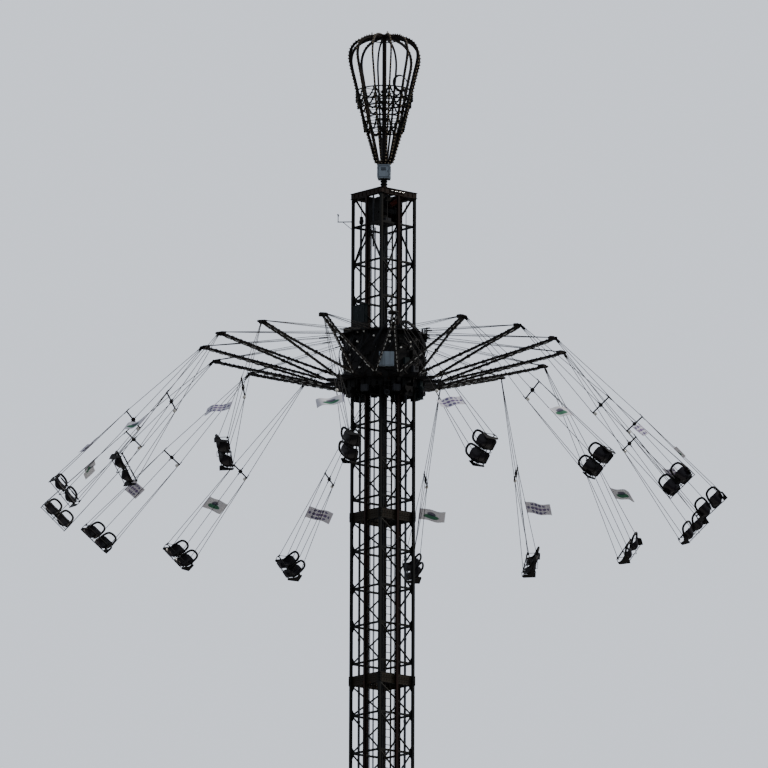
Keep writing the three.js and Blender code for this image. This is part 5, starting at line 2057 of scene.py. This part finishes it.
def side_frame(piece, x):
    """A bent tube with plates where the ropes tie on, and a sheet low down at the seat's ends."""
    piece.tube([(x, y, SEAT_SURFACE + z) for y, z in SIDE_FRAME], 0.0125, 8, closed=True)
    across = box_matrix(Vector((x, 0, SEAT_SURFACE)), NORTH, UP, EAST)
    if x:
        piece.plate(SIDE_SHEET, 0.008, across)
    for y in ((0,) if x == 0 else (-SEAT_ROPE_REACH, SEAT_ROPE_REACH)):
        tie = [(y - 0.035, 0.17), (y + 0.035, 0.17), (y + 0.02, 0.29), (y - 0.02, 0.29)]
        piece.plate(tie, 0.026, across)


def seat_hoop(piece, middle):
    """A thick padded hoop that rises from both edges of the shell and stands above its back."""
    half = list(smooth_curve(HOOP_KNOTS, 3))
    path = [(middle - x, y, SEAT_SURFACE + z) for x, y, z in half]
    path += [(middle + x, y, SEAT_SURFACE + z) for x, y, z in half[-2::-1]]
    piece.tube(path, 0.041, 12)


def lap_bar(piece):
    """The bar across both laps, with a grip for each rider and a collar at each end."""
    grips = [(0.0, SEAT_SIDE, 0.016, 12)] + [(x, 0.19, 0.027, 14) for x in (-0.30, 0.30)]
    for x, half, radius, sides in grips + [(x, 0.012, 0.029, 14) for x in (-SEAT_SIDE, SEAT_SIDE)]:
        start = (x - half, 0.18, SEAT_SURFACE + LAP_HEIGHT)
        piece.rod(start, EAST * 2 * half, radius, sides)


def swing_rig():
    piece = Piece()
    swing_head(piece)
    spreader(piece)
    for x in (-SEAT_SIDE, 0, SEAT_SIDE):
        side_frame(piece, x)
    for middle in SEAT_MIDDLES:
        seat_hoop(piece, middle)
    for y in (-0.16, 0.14):
        piece.rod((-SEAT_SIDE, y, SEAT_SURFACE - 0.038), EAST * 2 * SEAT_SIDE, 0.014, 10)
    lap_bar(piece)
    return piece


# %% Bucket shells
SHELL_STATIONS = (
    # forward, height, half width, how far the sides curl up
    (0.228, -0.030, 0.170, 0.000), (0.205, 0.005, 0.215, 0.020), (0.120, 0.002, 0.243, 0.075),
    (0.000, -0.014, 0.254, 0.125), (-0.120, -0.004, 0.258, 0.175), (-0.205, 0.055, 0.258, 0.200),
    (-0.248, 0.150, 0.254, 0.185), (-0.275, 0.260, 0.246, 0.140), (-0.296, 0.345, 0.215, 0.080),
    (-0.306, 0.395, 0.160, 0.030),
)
SHELL_ACROSS = 14
SHELL_WALL = 0.014


def shell_mesh(middle):
    """A bucket from stations along its middle: each is a line across, curled up at the sides."""
    rows = smooth_curve(SHELL_STATIONS, 3)
    work = bmesh.new()
    grid = []
    for index, (forward_y, height, half, curl) in enumerate(rows):
        before, after = rows[max(index - 1, 0)], rows[min(index + 1, len(rows) - 1)]
        along = Vector((after[0] - before[0], after[1] - before[1])).normalized()
        inward = Vector((along.y, -along.x))
        row = []
        for k in range(SHELL_ACROSS + 1):
            u = 2 * k / SHELL_ACROSS - 1
            lift = curl * abs(u) ** 1.9
            y, z = forward_y + inward.x * lift, height + inward.y * lift
            row.append(work.verts.new((middle + u * half, y, SEAT_SURFACE + z)))
        grid.append(row)
    for low, high in zip(grid, grid[1:]):
        for k in range(SHELL_ACROSS):
            work.faces.new((low[k], low[k + 1], high[k + 1], high[k]))
    bmesh.ops.recalc_face_normals(work, faces=work.faces)
    bmesh.ops.solidify(work, geom=work.faces[:], thickness=SHELL_WALL)
    return from_bmesh("shell", work)


print("lines across a shell:", len(smooth_curve(SHELL_STATIONS, 3)))


# %% [markdown]
# ## Flags
#
# A small flag flies from the outer, rear rope of each swing. It was cut flat, so its rippled
# surface is worked out by following the heading of the cloth along its length: each short step
# keeps its length and only turns. The print is a few soft ovals in two colours on a pale ground,
# which is whitened further with painted backlight, as if the sky shone through the cloth.

# %% Printed cloth
FLAG_FLY = 1.00
FLAG_DROP = 0.50
FLAG_SHARE = 0.455
FLAG_TRAIL = radians(12)
FLAG_DROOP = radians(4)
FLAG_WALL = 0.003
FLY_STEPS = 40
DROP_STEPS = 16


def soft_oval(u, v, centre_u, centre_v, wide, tall, blur=0.25):
    """One inside an oval on the cloth and zero outside it."""
    across, upward = (u - centre_u) * (1 / wide), (v - centre_v) * (1 / tall)
    reach = across * across + upward * upward
    return 1.0 - reach.ramp(1.0 - blur, 1.0 + blur)


def flag_cloth(name, ground, first, second, kind):
    """Woven polyester with a print of ovals: rows of small ones, or a long one under a short one.
    Its pale ground is whitened further with painted backlight, as if light shone through the cloth.
    """
    finish = Finish(name)
    uv = finish.add("ShaderNodeTexCoord", output="UV")
    parts = finish.node("ShaderNodeSeparateXYZ", inputs={"Vector": uv})
    u, v = Value(finish, parts.outputs["X"]), Value(finish, parts.outputs["Y"])
    fade = finish.noise(3.0, 3.0).ramp(0.3, 0.7)
    # painted backlight: the pale ground colour is whitened as if light shone through the cloth
    ground_tone = finish.mix(fade * 0.4, linear(ground), linear("dedbea"))
    if kind == "rows":
        across, upward = (u * 6.0).math("FRACT"), (v * 3.0).math("FRACT")
        field = soft_oval(u, v, 0.48, 0.50, 0.44, 0.46, 0.1)
        marks = soft_oval(across, upward, 0.5, 0.5, 0.40, 0.36) * field
        printed = finish.mix(marks * 0.9, ground_tone, linear(first))
        printed = finish.mix(soft_oval(u, v, 0.52, 0.52, 0.30, 0.08) * 0.6, printed, linear(second))
    else:
        printed = finish.mix(soft_oval(u, v, 0.46, 0.38, 0.30, 0.20) * 0.95, ground_tone, linear(first))
        printed = finish.mix(soft_oval(u, v, 0.46, 0.62, 0.17, 0.16) * 0.85, printed, linear(second))
    weave = (u * 2400.0).math("SINE") * (v * 1300.0).math("SINE")
    soft = finish.noise(9.0, 3.0)
    relief = finish.bump(weave * 0.04 + soft * 0.6, 0.002)
    return finish.done(Base_Color=printed, Roughness=0.78 + soft * 0.1, Normal=relief)


FLAG_CLOTHS = (
    # the near-white grounds f3f1fa and f6f6fa are partly the cloth's pale ground, partly painted backlight
    flag_cloth("flag_cloth_purple", "f3f1fa", "5b4f86", "8d6fa0", "rows"),
    flag_cloth("flag_cloth_green", "f6f6fa", "1d7350", "3b3458", "long oval"),
)
print("cloths:", [cloth.name for cloth in FLAG_CLOTHS])


# %% Rippled flags
def flag_side(phase):
    """The flag's line seen from above the ropes, as steps of one length that keep turning."""
    step = FLAG_FLY / FLY_STEPS
    point = Vector((0.0, 0.0))
    line = [point.copy()]
    for k in range(FLY_STEPS):
        share = (k + 0.5) / FLY_STEPS
        swell = 0.50 * share ** 0.6
        turn = -FLAG_TRAIL + swell * sin(2 * pi * (1.35 * share) + phase)
        point = point + Vector((sin(turn), -cos(turn))) * step
        line.append(point.copy())
    return line


def flag_hoist():
    """The middle of the flag's edge on its rope, and the way that the rope runs."""
    high = Vector((ROPE_ENDS, 0, -SPREADER_DROP))
    low = Vector((SEAT_SIDE, -SEAT_ROPE_REACH, SEAT_SURFACE + LAP_HEIGHT))
    return high.lerp(low, FLAG_SHARE), (low - high).normalized()


def flag_mesh(index):
    """The rippled cloth as a grid, each row a little out of step with the one above."""
    shuffle = random.Random(300 + index)
    phase = shuffle.uniform(0, 2 * pi)
    skew = shuffle.uniform(0.5, 1.1)
    hoist, rope_way = flag_hoist()
    droop = FLAG_DROOP + shuffle.uniform(-0.07, 0.07)
    downward = Vector((-sin(FLY), 0, -cos(FLY))) * sin(droop)
    work = bmesh.new()
    layer = work.loops.layers.uv.new("UVMap")
    grid = []
    for j in range(DROP_STEPS + 1):
        down = (j / DROP_STEPS - 0.5) * FLAG_DROP
        row = []
        for k, offset in enumerate(flag_side(phase + skew * down / FLAG_DROP)):
            trail = offset.to_3d() * cos(droop) + downward * (FLAG_FLY * k / FLY_STEPS)
            row.append(work.verts.new(hoist + rope_way * down + trail))
        grid.append(row)
    for j, k in ((j, k) for j in range(DROP_STEPS) for k in range(FLY_STEPS)):
        corners = ((j, k), (j, k + 1), (j + 1, k + 1), (j + 1, k))
        face = work.faces.new([grid[a][b] for a, b in corners])
        face.smooth = True
        for loop, (a, b) in zip(face.loops, corners):
            loop[layer].uv = (b / FLY_STEPS, 1 - a / DROP_STEPS)
    return from_bmesh("flag", work)


def flag_hem():
    """A sewn sleeve round the rope, with two ties."""
    hoist, way = flag_hoist()
    piece = Piece()
    ties = ((-0.57, -0.51, 0.017, 8), (0.51, 0.57, 0.017, 8))
    for low, high, radius, sides in ((-0.5, 0.5, 0.019, 10), *ties):
        piece.tube([hoist + way * FLAG_DROP * share for share in (low, high)], radius, sides)
    return piece


print("steps along a flag:", len(flag_side(0.0)) - 1)


# %% Sixteen swings
def spreader_lamp():
    """A round lamp that hangs from the spreader's inner end, with its collar."""
    piece = Piece()
    centre = Vector((-SPREADER_HALF + 0.055, 0, -SPREADER_DROP - 0.09))
    profile = [(0.062 * sin(pi * k / 12), -0.062 * cos(pi * k / 12)) for k in range(13)]
    piece.lathe(profile, 20, Matrix.Translation(centre))
    return piece


def placed(piece, place):
    return Piece().add(piece.points, piece.faces, place)


rig, lamp, sleeve = swing_rig(), spreader_lamp(), flag_hem()
ropes = rope_lines()
for index, name in enumerate(SWINGS):
    place = swing_place(index)
    dress(f"{name}_frame", placed(rig, place), "seat_frame", name, [name])
    lines = [[place @ end for end in line] for line in ropes]
    dress(f"{name}_ropes", swept(lines, 0.011, "rope_steel"), "rope_steel", name)
    for word, middle in zip(("inner", "outer"), SEAT_MIDDLES):
        shell = shell_mesh(middle)
        shell.transform(place)
        dress(f"{name}_{word}_shell", shell, "seat_shell", name)
    dress(f"{name}_lamp", placed(lamp, place), "lamp_glass", name)
    cloth = flag_mesh(index)
    cloth.transform(place)
    flag = as_object(f"{name}_flag", cloth, FLAG_CLOTHS[index % 2], name)
    wall = flag.modifiers.new("thickness", "SOLIDIFY")
    wall.thickness = FLAG_WALL
    wall.offset = 0.0
    hem = dress(f"{name}_flag_sleeve", placed(sleeve, place), "flag_sleeve", name)
print("swings:", len(SWINGS))

# %% [markdown]
# ## Floor, sky and light
#
# A pale disc of ground lies at the foundation. The ride is seen against a bright, even sky, so
# most of it is in shade, and one soft lamp from behind and above picks out its edges.

# %% Ground disc
GROUND_RADIUS = 30.0
ground_finish = Finish("ground")
ground_noise = ground_finish.noise(0.8, 6.0)
ground_tone = ground_finish.tones(ground_noise.ramp(0.3, 0.7), "b9b6b0", "cbc8c2")
ground_paint = ground_finish.done(Base_Color=ground_tone, Roughness=0.9)
ground_profile = [(0.0, -0.30), (GROUND_RADIUS, -0.30), (GROUND_RADIUS, -0.002), (0.0, -0.002)]
ground_piece = Piece().lathe(ground_profile, 96)
ground_mesh = tidy_mesh(as_mesh("ground", ground_piece))
ground_mesh.materials.append(ground_paint)
ground = linked("ground", ground_mesh)
print("ground's radius in metres:", GROUND_RADIUS)

# %% Sky and lamp
SKY_SEEN = 1.45
SKY_LIGHT = 0.55
SKY_BELOW = 0.12
world = bpy.data.worlds.new("sky")
bpy.context.scene.world = world
world.use_nodes = True
sky = Tree(world.node_tree)
world.node_tree.nodes.clear()
seen = sky.add("ShaderNodeLightPath", output="Is Camera Ray")
look = sky.add("ShaderNodeTexCoord", output="Generated")
height = sky.add("ShaderNodeSeparateXYZ", inputs={"Vector": look}, output="Z")
lit = height.ramp(-0.25, 0.35) * (SKY_LIGHT - SKY_BELOW) + SKY_BELOW
glow = seen * SKY_SEEN + (1.0 - seen) * lit
background = sky.add("ShaderNodeBackground", inputs={"Color": linear("d3d9e4"), "Strength": glow})
sky.node("ShaderNodeOutputWorld", inputs={"Surface": background})

sun_data = bpy.data.lights.new("sun", "SUN")
sun_data.energy = 1.8
sun_data.angle = radians(8)
sun_data.color = (1.0, 0.93, 0.84)
sun = linked("sun", sun_data)
sun_way = at(radians(150), 0.75, 0.66)
sun.matrix_world = sun_way.to_track_quat("Z", "Y").to_matrix().to_4x4()
print("the lamp shines from:", [round(value, 2) for value in sun_way])
